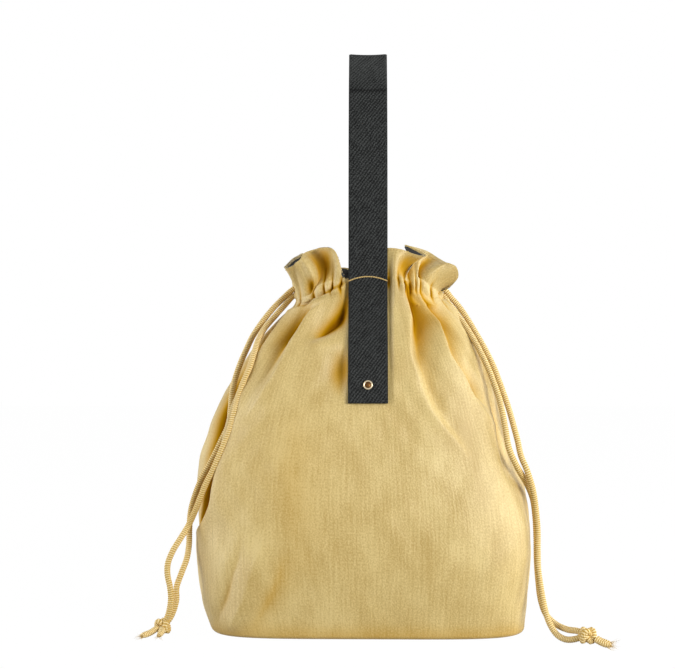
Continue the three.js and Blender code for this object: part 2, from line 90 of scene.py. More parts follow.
# %% Socket class
class Socket:
    """An output of a node tree. Arithmetic on it adds Math nodes and gives the new output."""

    def __init__(self, tree, output=None):
        self.tree = tree
        self.output = output

    def node(self, kind, settings=None, inputs=None, output=0):
        """Adds a node of that kind: its settings first, then a value or a link for each input."""
        new = self.tree.nodes.new(kind)
        for name, value in (settings or {}).items():
            setattr(new, name, value)
        for key, value in (inputs or {}).items():
            if isinstance(value, Socket):
                self.tree.links.new(value.output, new.inputs[key])
            else:
                new.inputs[key].default_value = value
        return Socket(self.tree, new.outputs[output] if new.outputs else None)

    def math(self, operation, first, second=0.0):
        return self.node("ShaderNodeMath", {"operation": operation}, {0: first, 1: second})

    def __add__(self, other):
        return self.math("ADD", self, other)

    def __sub__(self, other):
        return self.math("SUBTRACT", self, other)

    def __rsub__(self, other):
        return self.math("SUBTRACT", other, self)

    def __mul__(self, other):
        return self.math("MULTIPLY", self, other)

    __radd__ = __add__
    __rmul__ = __mul__

    def sine(self):
        return self.math("SINE", self)

    def size(self):
        return self.math("ABSOLUTE", self)

    def wave(self, pitch):
        """Sine of a length in metres, from 0 to 1 and back once in each pitch of so many millimetres."""
        return (self * (math.tau / (pitch * MM))).sine() * 0.5 + 0.5

    def step(self, low, high):
        """0 below low, 1 above high and smooth between them."""
        limits = {"Value": self, "From Min": low, "From Max": high}
        return self.node("ShaderNodeMapRange", {"interpolation_type": "SMOOTHSTEP"}, limits)

    def mix(self, first, second):
        """Colour that goes from first to second as this value goes from 0 to 1."""
        return self.node("ShaderNodeMix", {"data_type": "RGBA"}, {0: self, 6: first, 7: second}, output=2)

    def parts(self):
        """The x, y and z of a vector as three sockets."""
        split = self.tree.nodes.new("ShaderNodeSeparateXYZ")
        self.tree.links.new(self.output, split.inputs[0])
        return [Socket(self.tree, output) for output in split.outputs]


def new_material(name):
    """An empty material, and the socket from which its nodes are added."""
    material = bpy.data.materials.new(name)
    material.use_nodes = True
    material.node_tree.nodes.clear()
    return material, Socket(material.node_tree)


def finish_material(start, inputs):
    """Ends a material with a Principled shader that has these inputs."""
    shader = start.node("ShaderNodeBsdfPrincipled", {}, inputs)
    start.node("ShaderNodeOutputMaterial", {}, {"Surface": shader})


def cloth_place(start):
    """Where a point lies on its cloth or cord: the two directions of the piece's UV map. Cloth has metres
    in both; a tube has metres along it, and a thousandth for each whole turn round it."""
    return start.node("ShaderNodeUVMap", {"uv_map": "cloth"}).parts()[:2]


def shade_and_dome_mark(start):
    """The number that a mesh carries at each point: painted shade on the canvas and on the strap's fold,
    painted light above that fold, and the dome of a rivet.
    """
    return start.node("ShaderNodeAttribute", {"attribute_name": "hollow"}, output="Fac")


def object_noise(start, scale, detail=3.0):
    """Noise in the piece's own Object coordinates, with so many features in a metre."""
    place = start.node("ShaderNodeTexCoord", output="Object")
    return start.node("ShaderNodeTexNoise", {}, {"Vector": place, "Scale": scale, "Detail": detail})


def bumped(height, strength, distance):
    """Normal that a height tilts. The distance is how many millimetres a height of 1 stands for."""
    return height.node("ShaderNodeBump", {}, {
        "Strength": strength, "Distance": distance * MM, "Height": height,
    })


print("operators ready")

# %% [markdown]
# ## Floor, background and light
# A studio picture has a white sweep and large soft lamps. The world and the floor look white to the camera
# and to mirrors, but light the bag at a plain level, and the floor keeps part of the bag's shadow. The key
# lamp stands in front on the right, so the folds on the left fall into shade, and two weaker lamps at the
# sides open that shade a little.

# %% Stage
FLOOR_SIZE = 6
FLOOR_COLOR = (0.42, 0.42, 0.42, 1)
FLOOR_GLOW = 0.96
FLOOR_WHITE = 1.03
AMBIENT = 0.3
LAMPS = {
    "key_lamp": {"place": (1.05, -1.1, 0.5), "size": 0.7, "power": 20},
    "fill_lamp": {"place": (-1.5, -0.2, 0.33), "size": 1.2, "power": 21},
    "side_lamp": {"place": (1.6, 0.1, 0.35), "size": 1.2, "power": 17},
}
LAMP_AIM = (0, 0, 0.15)


def seen_directly(start):
    """1 for rays from the camera and for mirrored rays, 0 for rays that bring diffuse light to the bag."""
    kinds = ("Camera", "Glossy", "Transmission")
    rays = [start.node("ShaderNodeLightPath", output=f"Is {kind} Ray") for kind in kinds]
    return start.math("MAXIMUM", start.math("MAXIMUM", *rays[:2]), rays[2])


def make_world():
    world = bpy.data.worlds.new("studio")
    world.use_nodes = True
    world.node_tree.nodes.clear()
    start = Socket(world.node_tree)
    strength = AMBIENT + (1 - AMBIENT) * seen_directly(start)
    sky = start.node("ShaderNodeBackground", {}, {"Color": (1, 1, 1, 1), "Strength": strength})
    start.node("ShaderNodeOutputWorld", {}, {"Surface": sky})
    bpy.context.scene.world = world


def make_floor():
    half = FLOOR_SIZE / 2
    corners = [(-half, -half, 0), (half, -half, 0), (half, half, 0), (-half, half, 0)]
    mesh = bpy.data.meshes.new("floor")
    mesh.from_pydata(corners, [], [(0, 1, 2, 3)])
    floor = bpy.data.objects.new("floor", mesh)
    bpy.context.scene.collection.objects.link(floor)
    material, start = new_material("floor_white")
    paint = start.node("ShaderNodeBsdfDiffuse", {}, {"Color": FLOOR_COLOR})
    glow = start.node("ShaderNodeEmission", {}, {"Strength": FLOOR_WHITE})
    share = FLOOR_GLOW * seen_directly(start)
    both = start.node("ShaderNodeMixShader", {}, {0: share, 1: paint, 2: glow})
    start.node("ShaderNodeOutputMaterial", {}, {"Surface": both})
    mesh.materials.append(material)


def make_lamp(name, place, size, power):
    lamp = bpy.data.objects.new(name, bpy.data.lights.new(name, "AREA"))
    lamp.data.shape = "DISK"
    lamp.data.size = size
    lamp.data.energy = power
    lamp.location = place
    away = lamp.location - type(lamp.location)(LAMP_AIM)
    lamp.rotation_euler = away.to_track_quat("Z", "Y").to_euler()
    bpy.context.scene.collection.objects.link(lamp)


make_world()
make_floor()
for name, lamp in LAMPS.items():
    make_lamp(name, **lamp)
print("stage:", len(LAMPS), "lamps and a floor")

# %% [markdown]
# ## Meshes from arrays
# Every piece below is a grid of points worked out with numpy. Shapes are written in millimetres, and the
# function that makes a mesh of them turns them into metres. Smooth curves through a few chosen points come
# from one cubic formula, which is used for sections, folds, rims and cords alike.

# %% Curves and grids
def through(knots, values, at):
    """Cubic Hermite curve through values at knots; its slope at a knot is the central difference."""
    knots = np.asarray(knots, float)
    values = np.asarray(values, float)
    slopes = np.gradient(values, knots, axis=0)
    at = np.clip(at, knots[0], knots[-1])
    left = np.clip(np.searchsorted(knots, at, side="right") - 1, 0, len(knots) - 2)
    span = knots[left + 1] - knots[left]
    t = (at - knots[left]) / span
    if values.ndim > 1:
        t, span = t[..., None], span[..., None]
    start = (1 + 2 * t) * (1 - t) ** 2 * values[left] + t * (1 - t) ** 2 * span * slopes[left]
    return start + t**2 * (3 - 2 * t) * values[left + 1] - t**2 * (1 - t) * span * slopes[left + 1]


def smooth(value, low, high):
    """0 below low, 1 above high and 3t^2 - 2t^3 between them."""
    t = np.clip((value - low) / (high - low), 0, 1)
    return t * t * (3 - 2 * t)


def unit(vectors):
    return vectors / np.maximum(np.linalg.norm(vectors, axis=-1, keepdims=True), 1e-9)


def grid_normals(points):
    """Normals of a grid: the cross product of its steps along columns and along rows."""
    return unit(np.cross(np.gradient(points, axis=1), np.gradient(points, axis=0)))


def grid_quads(rows, columns, wrapped=False, first=0):
    """Corner numbers of a grid's quads, facing out where columns run to the right and rows run up."""
    row, column = np.meshgrid(np.arange(rows - 1), np.arange(columns - (not wrapped)), indexing="ij")
    here = row * columns + column
    after = row * columns + (column + 1) % columns
    corners = [here, after, after + columns, here + columns]
    return first + np.stack(corners, axis=-1).reshape(-1, 4)


def copied_quads(faces, count, points):
    """Quads of many shapes with the same faces and the same number of points, one after the other."""
    return (faces[None] + points * np.arange(count)[:, None, None]).reshape(-1, 4)


def edge_quads(outer, inner):
    """Quads between two lists of corner numbers that run side by side."""
    return np.stack([outer[:-1], outer[1:], inner[1:], inner[:-1]], axis=-1)


print("curves and grids ready")

# %% [markdown]
# ## Meshes in the scene
# Cloth is a thin closed shell between two grids, and a cord is a tube closed at both ends. A solidify
# modifier or a curve's bevel could make them too, but here one function makes every object from its points,
# so that the UV map, the normals and the mark of painted shade go in with them.

# %% Meshes
def put_mesh(name, points, faces, material, uv=None, normals=None, hollow=None):
    """Object made of points in millimetres and lists of faces, smooth and in one finish. Hollow is a number
    for each point that its material can read, such as painted shade in a fold or the dome of a rivet."""
    mesh = bpy.data.meshes.new(name)
    mesh.from_pydata((points * MM).tolist(), [], [face for part in faces for face in part.tolist()])
    mesh.polygons.foreach_set("use_smooth", np.ones(len(mesh.polygons), bool))
    if uv is not None:
        corner = np.zeros(len(mesh.loops), np.int32)
        mesh.loops.foreach_get("vertex_index", corner)
        layer = mesh.uv_layers.new(name="cloth")
        layer.data.foreach_set("uv", (uv[corner] * MM).astype(np.float32).ravel())
    if normals is not None:
        mesh.normals_split_custom_set_from_vertices(normals.tolist())
    if hollow is not None:
        values = mesh.attributes.new("hollow", "FLOAT", "POINT")
        values.data.foreach_set("value", hollow.astype(np.float32).ravel())
    mesh.materials.append(material)
    thing = bpy.data.objects.new(name, mesh)
    bpy.context.scene.collection.objects.link(thing)
    return thing


def put_shell(name, outer, inner, material, uv=None, normals=None, hollow=None):
    """Closed cloth between two grids of the same size: both faces and the four edges."""
    rows, columns = outer.shape[:2]
    count = rows * columns
    number = np.arange(count).reshape(rows, columns)
    faces = [
        grid_quads(rows, columns),
        grid_quads(rows, columns, first=count)[:, ::-1],
        edge_quads(number[0], number[0] + count)[:, ::-1],
        edge_quads(number[-1], number[-1] + count),
        edge_quads(number[:, 0], number[:, 0] + count),
        edge_quads(number[:, -1], number[:, -1] + count)[:, ::-1],
    ]
    points = np.concatenate([outer.reshape(-1, 3), inner.reshape(-1, 3)])
    both = None if uv is None else np.concatenate([uv.reshape(-1, 2)] * 2)
    facing = None if normals is None else np.concatenate([normals.reshape(-1, 3), -normals.reshape(-1, 3)])
    shade_values = None if hollow is None else np.concatenate([hollow.ravel()] * 2)
    return put_mesh(name, points, faces, material, both, facing, shade_values)


def put_tube(name, rings, material, uv=None):
    """Tube through rings of points (ring, side, xyz), closed at both ends by a fan."""
    count, sides = rings.shape[:2]
    body = grid_quads(count, sides, wrapped=True)
    turn = np.arange(sides)
    first_pole, last_pole = count * sides, count * sides + 1
    last = (count - 1) * sides
    start = np.stack([np.full(sides, first_pole), (turn + 1) % sides, turn], axis=-1)
    end = np.stack([np.full(sides, last_pole), last + turn, last + (turn + 1) % sides], axis=-1)
    points = np.concatenate([rings.reshape(-1, 3), rings[:1].mean(axis=1), rings[-1:].mean(axis=1)])
    if uv is not None:
        uv = np.concatenate([uv.reshape(-1, 2), uv[0, :1], uv[-1, :1]])
    return put_mesh(name, points, [body, start, end], material, uv)


print("meshes ready")

# %% [markdown]
# ## Paths
# Cords, threads and the strap follow paths. A path goes smoothly through a few points and is cut into even
# steps, so that ribs along it keep their pitch, and two vectors square to it carry the ring of a tube.

# %% Paths
FINE_POINTS = 40


def run_along(points):
    """Length of the way from a line's first point to each of its points."""
    return np.concatenate([[0], np.cumsum(np.linalg.norm(np.diff(points, axis=0), axis=-1))])


def read_at(places, run, values):
    """Rows of values at places along a line, straight between the line's points."""
    return np.stack([np.interp(places, run, column) for column in values.T], axis=-1)


def even_path(points, step):
    """Smooth path through chosen points, cut into even steps. Knots are spaced by root chord length."""
    points = np.asarray(points, float)
    chords = np.linalg.norm(np.diff(points, axis=0), axis=1)
    knots = np.concatenate([[0], np.cumsum(np.sqrt(chords))])
    fine = through(knots, points, np.linspace(0, knots[-1], FINE_POINTS * len(points)))
    run = run_along(fine)
    places = np.linspace(0, run[-1], max(2, round(run[-1] / step)) + 1)
    return read_at(places, run, fine), places


def path_frame(path, reference):
    """Two unit vectors square to the path at each point, the first one square to the reference too."""
    along = unit(np.gradient(path, axis=0))
    aside = unit(np.cross(along, np.asarray(reference, float)))
    return aside, np.cross(aside, along)


def spokes(aside, over, sides):
    """Angles round a tube, and at each of them the unit vector cos(a) * aside + sin(a) * over."""
    turn = np.linspace(0, math.tau, sides, endpoint=False)
    return turn, np.cos(turn)[:, None] * aside[..., None, :] + np.sin(turn)[:, None] * over[..., None, :]


def grid_uv(across, along):
    """UV map of a grid from a value for each column and a value for each row."""
    return np.stack(np.broadcast_arrays(across, along[:, None]), axis=-1)


print("paths ready")

# %% [markdown]
# ## Drawstring finish
# The drawstring is a braided cotton cord. Its strands show as ribs that run nearly square round it. The
# ribs are modelled in the tube itself, and the material repeats them from the UV map, whose v runs along
# the cord in metres, as painted shade of dark gold between them and a painted highlight on their crowns.

# %% Cord material
RIB_PITCH = 1.4
# Painted shade between the cord's ribs and painted highlight on their crowns
CORD_RIB_SHADE = (0.53, 0.325, 0.052, 1)
CORD_RIB_HIGHLIGHT = (0.88, 0.70, 0.37, 1)


def cord_material():
    """Colour follows a sine along the cord with the ribs' pitch, slanted round it: painted shade between
    the ribs and a painted highlight on their crowns. Grain is the bump and makes the tone uneven.
    """
    material, start = new_material("braided_cord")
    around, along = cloth_place(start)
    grain = object_noise(start, 4000.0)
    ribs = (along + around * RIB_PITCH).wave(RIB_PITCH)
    color = (ribs + grain * 0.5 - 0.25).step(0.0, 1.0).mix(CORD_RIB_SHADE, CORD_RIB_HIGHLIGHT)
    finish_material(start, {
        "Base Color": color, "Roughness": 0.7, "Specular IOR Level": 0.3,
        "Normal": bumped(grain, 0.35, 0.4),
    })
    return material


CORD = cord_material()
print("finish:", CORD.name)

# %% [markdown]
# ## The four free strands
# Each drawstring leaves the neck at one side as two strands that lie on the bag and meet in a knot on the
# floor. Their routes are given lists of points, and the tube around each route has its ribs as
# real relief: the radius follows a cosine along the cord.

# %% Strand routes
CORD_DIAMETER = 4.0
CORD_SIDES = 14
CORD_STEP = 0.31
RIB_RELIEF = 0.14
TAPER_LENGTH = 3
STRAND_ROUTES = {
    "left_upper_strand": [
        (-48.9, 0, 226), (-52, -0.5, 224), (-57, -2.5, 219.2), (-64, -6.5, 211.8), (-71.2, -11, 202.4),
        (-77, -16.5, 193), (-80.5, -24, 184.5), (-84, -29.5, 175.5), (-87, -33, 166), (-88.8, -38, 156),
        (-89.2, -43.5, 145.5), (-90, -47, 136.5), (-94.8, -48.5, 125.5), (-101.3, -48.5, 112.5),
        (-108, -46, 100.5), (-113.5, -41, 87), (-116.2, -37, 77), (-117, -36.5, 67), (-117, -38.5, 57),
        (-118, -42, 48.5), (-121.2, -45.5, 39), (-124, -47, 30.5), (-124.3, -47, 21.5),
        (-127.2, -47.2, 12.4), (-130.4, -48.4, 7.4),
    ],
    "left_lower_strand": [
        (-48.9, 0, 221), (-51.2, -0.5, 219.9), (-55.4, -4.5, 215), (-62.6, -10.5, 206.4),
        (-69.2, -17.8, 198), (-72.8, -29, 189.5), (-74.6, -37, 181.5), (-77, -42, 173),
        (-81, -44.5, 163), (-84.5, -47, 152.5), (-86.5, -50.5, 143), (-89, -53, 133), (-94.5, -55, 119),
        (-99.5, -55, 107.5), (-105, -53, 96.5), (-110.8, -49.5, 82.5), (-116.5, -44, 70.5),
        (-121.5, -47.5, 62), (-126, -50.5, 54.5), (-129, -52, 46.5), (-129.2, -52.5, 39.5),
        (-127.5, -53, 31.5), (-127, -52.3, 23.5), (-128.8, -51.8, 13.4), (-131.6, -50.4, 7.6),
    ],
    "right_upper_strand": [
        (48.9, 0, 226), (52, -0.5, 224.4), (56, -0.8, 219.4), (61.2, -2.2, 213.4), (66.8, -6.8, 204.8),
        (72.2, -12.5, 195), (77.5, -18, 185), (82.5, -24, 174), (86, -29.5, 164), (89.3, -33, 154),
        (92, -37, 145), (94.2, -41, 136), (96.6, -44.5, 126), (98.6, -47.5, 116), (102.1, -50.5, 107),
        (105.9, -49, 95), (108.2, -46.5, 82), (109.5, -45.5, 68), (109.4, -47, 55), (109.4, -49.5, 44),
        (110.8, -52, 32), (112.5, -55.5, 21), (115, -60, 11.5), (119.1, -65, 4.8), (124, -71, 2.7),
        (129.4, -76.4, 4), (133.4, -78.6, 6),
    ],
    "right_lower_strand": [
        (48.9, 0, 221), (51.2, -0.5, 220.2), (53.8, -3.5, 215.8), (59.5, -9, 207.7), (64.8, -15.4, 200),
        (70.2, -23.6, 190.2), (74.6, -30.5, 181), (78.4, -36.3, 172), (81.6, -40.5, 163),
        (84.6, -44.5, 153.5), (86.6, -48, 144), (88.4, -51, 133), (90.3, -53, 121.5), (95.8, -51.3, 109),
        (102.3, -44.3, 98.5), (107.4, -35.5, 87.5), (110, -27.5, 75), (111.2, -23.5, 60),
        (111.2, -25.5, 46), (111.3, -34, 33), (112, -42.5, 22), (114.6, -49, 14), (119.8, -55, 9.2),
        (126, -64.5, 7.6), (131.4, -73.6, 8.4), (134.6, -77.8, 7.6),
    ],
}


def ribbed_tube(name, points, reference, taper=0.0):
    """Tube of the cord's radius along a path, plus a cosine of the place along it. The cosine's phase
    also turns once round the tube, so that the ribs slant. A taper narrows the last stretch."""
    path, places = even_path(points, CORD_STEP)
    turn, outward = spokes(*path_frame(path, reference), CORD_SIDES)
    ribs = RIB_RELIEF * np.cos(math.tau * places[:, None] / RIB_PITCH + turn)
    narrow = 1 - taper * smooth(places, places[-1] - TAPER_LENGTH, places[-1])
    radius = (CORD_DIAMETER / 2 - RIB_RELIEF / 2 + ribs) * narrow[:, None]
    rings = path[:, None] + radius[..., None] * outward
    return put_tube(name, rings, CORD, grid_uv(turn / math.tau, places)), path, places[-1]


STRANDS = {name: ribbed_tube(name, route, (0, 1, 0)) for name, route in STRAND_ROUTES.items()}
for name, (_, _, length) in STRANDS.items():
    print(name, round(length, 1), "mm long")

# %% [markdown]
# ## Knots and frayed tails
# At the floor the two strands of a cord are tied together. A trefoil is the simplest real knot, and a tube
# along that curve reads as a pulled overhand knot. Two short tails come out of it, and each ends in loose
# fibres that fan out, drawn as thin tapering hairs.

# %% Knots
KNOT_TURN_RADIUS = 1.28
KNOT_CORD_RADIUS = 1.95
KNOT_RISE = 2.4
KNOT_RINGS = 160
KNOTS = {
    "left": {
        "centre": (-132.5, -49, 5.6), "tilt": 0.4, "seed": 11,
        "tails": {
            "front": [(-135.6, -53.4, 5.2), (-139.5, -58.5, 3.2), (-144, -64.4, 2.4)],
            "short": [(-132.4, -54.6, 4.8), (-132.6, -59, 3.2), (-133.3, -62.8, 2.4)],
        },
    },
    "right": {
        "centre": (136.4, -80, 7), "tilt": 1.3, "seed": 21,
        "tails": {
            "front": [(141, -83.6, 5.2), (145, -86, 3.4), (149.2, -88.1, 2.4)],
            "short": [(142.2, -79.3, 5), (146, -80, 3.2), (150, -81.2, 2.4)],
        },
    },
}


def trefoil(name, centre, tilt):
    """Closed tube along (sin t + 2 sin 2t, cos t - 2 cos 2t, -rise * sin 3t), turned about Z by a tilt."""
    t = np.linspace(0, math.tau, KNOT_RINGS, endpoint=False)
    x = np.sin(t) + 2 * np.sin(2 * t)
    y = np.cos(t) - 2 * np.cos(2 * t)
    turned_x = x * math.cos(tilt) - y * math.sin(tilt)
    turned_y = x * math.sin(tilt) + y * math.cos(tilt)
    curve = np.stack([turned_x, turned_y, -KNOT_RISE * np.sin(3 * t)], axis=-1)
    path = np.asarray(centre) + KNOT_TURN_RADIUS * curve
    steps = np.roll(path, -1, axis=0) - np.roll(path, 1, axis=0)
    along = unit(steps)
    aside = unit(np.cross(along, (0, 0, 1)))
    turn, outward = spokes(aside, np.cross(aside, along), CORD_SIDES)
    count = round(np.linalg.norm(steps, axis=1).sum() / 2 / RIB_PITCH)
    radius = KNOT_CORD_RADIUS + RIB_RELIEF * np.cos(count * t[:, None] + turn)
    rings = path[:, None] + radius[..., None] * outward
    rings = np.concatenate([rings, rings[:1]])
    uv = grid_uv(turn / math.tau, np.linspace(0, count * RIB_PITCH, len(rings)))
    faces = grid_quads(len(rings), CORD_SIDES, wrapped=True)
    return put_mesh(name, rings.reshape(-1, 3), [faces], CORD, uv.reshape(-1, 2))


print("knot curve of", KNOT_RINGS, "rings ready")

# %% Frayed tails
TAIL_TAPER = 0.25
FRAY_HAIRS = 26
FRAY_LENGTH = 4.2
FRAY_SPREAD = 0.55
FRAY_RADIUS = 0.16
FRAY_ROOT, FRAY_SINK = 0.75, 0.8
HAIR_RINGS = 5
HAIR_SIDES = 4


def fray(name, end, seed):
    """Hairs that leave a tail's end and fan out: each is a thin cone along a bent line."""
    rng = np.random.default_rng(seed)
    start, before = np.asarray(end[-1], float), np.asarray(end[-2], float)
    aim = unit(start - before)
    spread = rng.normal(0, FRAY_SPREAD, (FRAY_HAIRS, 3))
    length = rng.uniform(0.6, 1.0, (FRAY_HAIRS, 1, 1)) * FRAY_LENGTH
    share = np.linspace(0, 1, HAIR_RINGS)[None, :, None]
    root = start + rng.normal(0, FRAY_ROOT, (FRAY_HAIRS, 3)) - aim * FRAY_SINK
    path = root[:, None] + length * (share * aim + share**2 * spread[:, None])
    path[..., 2] = np.maximum(path[..., 2], FRAY_RADIUS)
    _, outward = spokes(unit(np.cross(aim, (0, 0, 1))), np.array([0, 0, 1.0]), HAIR_SIDES)
    rings = path[:, :, None] + FRAY_RADIUS * (1.05 - share[..., None]) * outward
    points = rings.reshape(-1, 3)
    hair = grid_quads(HAIR_RINGS, HAIR_SIDES, wrapped=True)
    faces = copied_quads(hair, FRAY_HAIRS, HAIR_RINGS * HAIR_SIDES)
    return put_mesh(name, points, [faces], CORD, np.zeros((len(points), 2)))


def dress(piece, body=None, nodes=()):
    """Hides the solids a piece stands in for and hangs the piece on the body that carries it, if one is
    given.
    Gives the piece back."""
    if nodes:
        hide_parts(*nodes)
    if body:
        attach(piece, body)
    return piece


def cord_end(side, centre, tilt, seed, tails):
    """Knot, tails and hairs of one drawstring, all riding on that cord."""
    cord = f"{side}_cord"
    ends = [dress(trefoil(f"{side}_tied_knot", centre, tilt), cord, [f"{side}_knot"])]
    for number, (kind, points) in enumerate(tails.items()):
        name = f"{side}_tail_{kind}"
        tail, _, _ = ribbed_tube(name, points, (0, 0, 1), TAIL_TAPER)
        ends.append(dress(tail, cord, [f"{side}_{kind}_tail"]))
        ends.append(dress(fray(f"{name}_fray", points, seed + number), cord))
    return ends


ENDS = {side: cord_end(side, **knot) for side, knot in KNOTS.items()}
print("knots:", sum(len(ends) for ends in ENDS.values()), "pieces")

# %% [markdown]
# ## Strands as cords
# A strand is held by the neck at one end and by its knot at the other. Its mesh stays where it is made and
# rides on neither body. Its real length, points along its path and what hangs on it are worked out, but
# nothing here uses them.

PATH_SKIP = 4
for name, (strand, path, length) in STRANDS.items():
    side, level, _ = name.split("_")
    knot_end = tuple(path[-1] * MM)
    exit_place = tuple(path[0] * MM)
    dress(strand, nodes=[f"{side}_cord_{level}_strand"])
    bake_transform(strand)
    length * MM
    [tuple(point * MM) for point in path[::PATH_SKIP]] + [knot_end]
    ENDS[side] if level == "upper" else ()

# %% [markdown]
# ## Canvas finish
# The outside is a mustard canvas with fine upright ribs. The ribs are a sine of the UV map that soft noise
# makes wander, and stretched noise of four sizes gives the grain and the cloudy streaks of a washed cloth.
# Sheen adds the pale bloom of its fibres. Shade is painted into the folds: an attribute that carries the
# painted shade mixes in a second shader of a strong dark gold, the colour of light bounced from cloth to
# cloth.

# %% Canvas material
RIB_WIDTH = 2.9
RIB_WANDER = 9
SHEEN = 0.3
CANVAS_DARK = (0.425, 0.272, 0.036, 1)
CANVAS_LIGHT = (0.65, 0.49, 0.168, 1)
# Painted shade in the folds: gold where it is light, brown where it is strongest
SHADE_GOLD = (0.52, 0.27, 0.004, 1)
SHADE_BROWN = (0.2, 0.075, 0.001, 1)


def cloth_noise(start, around_scale, up_scale):
    """Noise on the cloth with its own number of features in a metre around and up."""
    around, up = cloth_place(start)
    place = start.node("ShaderNodeCombineXYZ", {}, {0: around * around_scale, 1: up * up_scale})
    return start.node("ShaderNodeTexNoise", {}, {"Vector": place, "Scale": 1.0, "Detail": 3.0})


def canvas_material():
    """Ribs and noise give the tone and the bump; in painted shade a dull dark gold takes over."""
    material, start = new_material("ribbed_canvas")
    around, _ = cloth_place(start)
    streaks = cloth_noise(start, 520, 40)
    clouds = cloth_noise(start, 70, 28)
    patches = cloth_noise(start, 32, 26)
    grain = cloth_noise(start, 1000, 800)
    ribs = (around + clouds * (RIB_WANDER * MM)).wave(RIB_WIDTH)
    tone = streaks * 0.5 + clouds * 0.5 + patches * 1.1 + grain * 1.3 + ribs * 0.09
    cloth = start.node("ShaderNodeBsdfPrincipled", {}, {
        "Base Color": tone.step(1.325, 2.165).mix(CANVAS_DARK, CANVAS_LIGHT),
        "Roughness": 0.62, "Specular IOR Level": 0.9, "IOR": 1.65,
        "Normal": bumped(ribs * 0.16 + grain * 1.1 + streaks * 0.5, 0.5, 0.4),
        "Sheen Weight": SHEEN, "Sheen Roughness": 0.6, "Sheen Tint": (1, 0.95, 0.8, 1),
    })
    # Painted shade: the mark mixes in a dark gold shader in folds, creases and near the floor
    shade_values = shade_and_dome_mark(start)
    shade = start.node("ShaderNodeBsdfPrincipled", {}, {
        "Base Color": shade_values.step(0.6, 1.5).mix(SHADE_GOLD, SHADE_BROWN),
        "Roughness": 1.0, "Specular IOR Level": 0.0,
    })
    both = start.node("ShaderNodeMixShader", {}, {0: shade_values.step(0.0, 1.0), 1: cloth, 2: shade})
    start.node("ShaderNodeOutputMaterial", {}, {"Surface": both})
    return material


CANVAS = canvas_material()
print("finish:", CANVAS.name)

# %% [markdown]
# ## The bag's plain surface
# The canvas is first a plain lofted sack. At each height its outline is a superellipse, a curve between an
# ellipse and a rectangle, with its own reach to the left and right because the full bag leans. A point is
# named by its height and by its share of the way round: 0 in front, 0.5 at the right side, 1 at the back,
# and the same with a minus sign on the left. Folds are easier to place that way than in x and y.

# %% Plain surface
SECTION_HEIGHTS = [0, 18, 34, 50, 72, 98, 111, 125, 140, 152, 168, 182, 197, 207, 213, 218, 223]
LEFT_REACH = [
    103, 109.6, 111.7, 113.6, 114.2, 114.4, 113, 109, 104.4, 99.1, 89.6, 81, 70.5, 60, 51.5, 48, 49.5,
]
RIGHT_REACH = [
    103, 104.4, 106, 107.6, 106.8, 102.4, 98.4, 94.5, 90.5, 87, 82, 76.6, 70.8, 64.2, 57, 51, 49.5,
]
SHAPE_HEIGHTS = [0, 50, 102, 150, 182, 216, 219]
HALF_DEPTH = [63, 71, 70, 63.5, 54.5, 38.2, 38]
LEFT_SQUARENESS = [5.0, 3.9, 3.4, 3, 2.7, 2.3, 2.3]
RIGHT_SQUARENESS = [4.8, 4.2, 3.6, 3, 2.7, 2.3, 2.3]
BOTTOM_EDGE = 2.6
EDGE_ROWS = 8
SHOULDER = 150
NECK_FOOT = 208
NECK_TOP = 225
NECK_ROWS = 26
ARC_POINTS = 801
FRONT_COLUMNS, BACK_COLUMNS = 141, 71
WALL_START, WALL_STEP, SHOULDER_STEP = 4.6, 2.2, 1.3
ROOT_SHARES = [
    -1, -0.7, -0.5, -0.42, -0.35, -0.3, -0.262, -0.235, -0.2, -0.15, -0.1, 0, 0.1, 0.125, 0.16, 0.19,
    0.24, 0.27, 0.3, 0.366, 0.42, 0.5, 0.7, 1,
]
ROOT_HEIGHTS = [
    231, 225, 222, 219.5, 218.5, 219, 222, 226, 228, 229.5, 230.5, 231, 233, 233.5, 230.5, 229, 231.5,
    230, 227.5, 223, 219.5, 220.5, 225, 231,
]


def depth_at(height):
    """Half the depth of the bag at a height, without its folds."""
    return through(SHAPE_HEIGHTS, HALF_DEPTH, height)


def half_ring(reach, depth, squareness, shares):
    """Points (x, y) of half a superellipse from front to back, and its length. Along the curve x is
    reach * sin(a)^(2/n) and y is -depth * cos(a)^(2/n) with its sign. The points are spaced by length."""
    angle = np.linspace(0, math.pi, ARC_POINTS)
    x = reach * np.sin(angle) ** (2 / squareness)
    y = -depth * np.sign(np.cos(angle)) * np.abs(np.cos(angle)) ** (2 / squareness)
    line = np.stack([x, y], axis=-1)
    run = run_along(line)
    return read_at(shares * run[-1], run, line), run[-1]


def whole_turn(left, right):
    """Values over the whole turn, from the left back to the right back, out of two runs from the front."""
    return np.concatenate([left[:0:-1], right])


def wrapped_normals(points):
    """Normals of a grid whose first and last columns are the same line."""
    around = np.concatenate([points[:, -2:-1], points, points[:, 1:2]], axis=1)
    return grid_normals(around)[:, 1:-1]


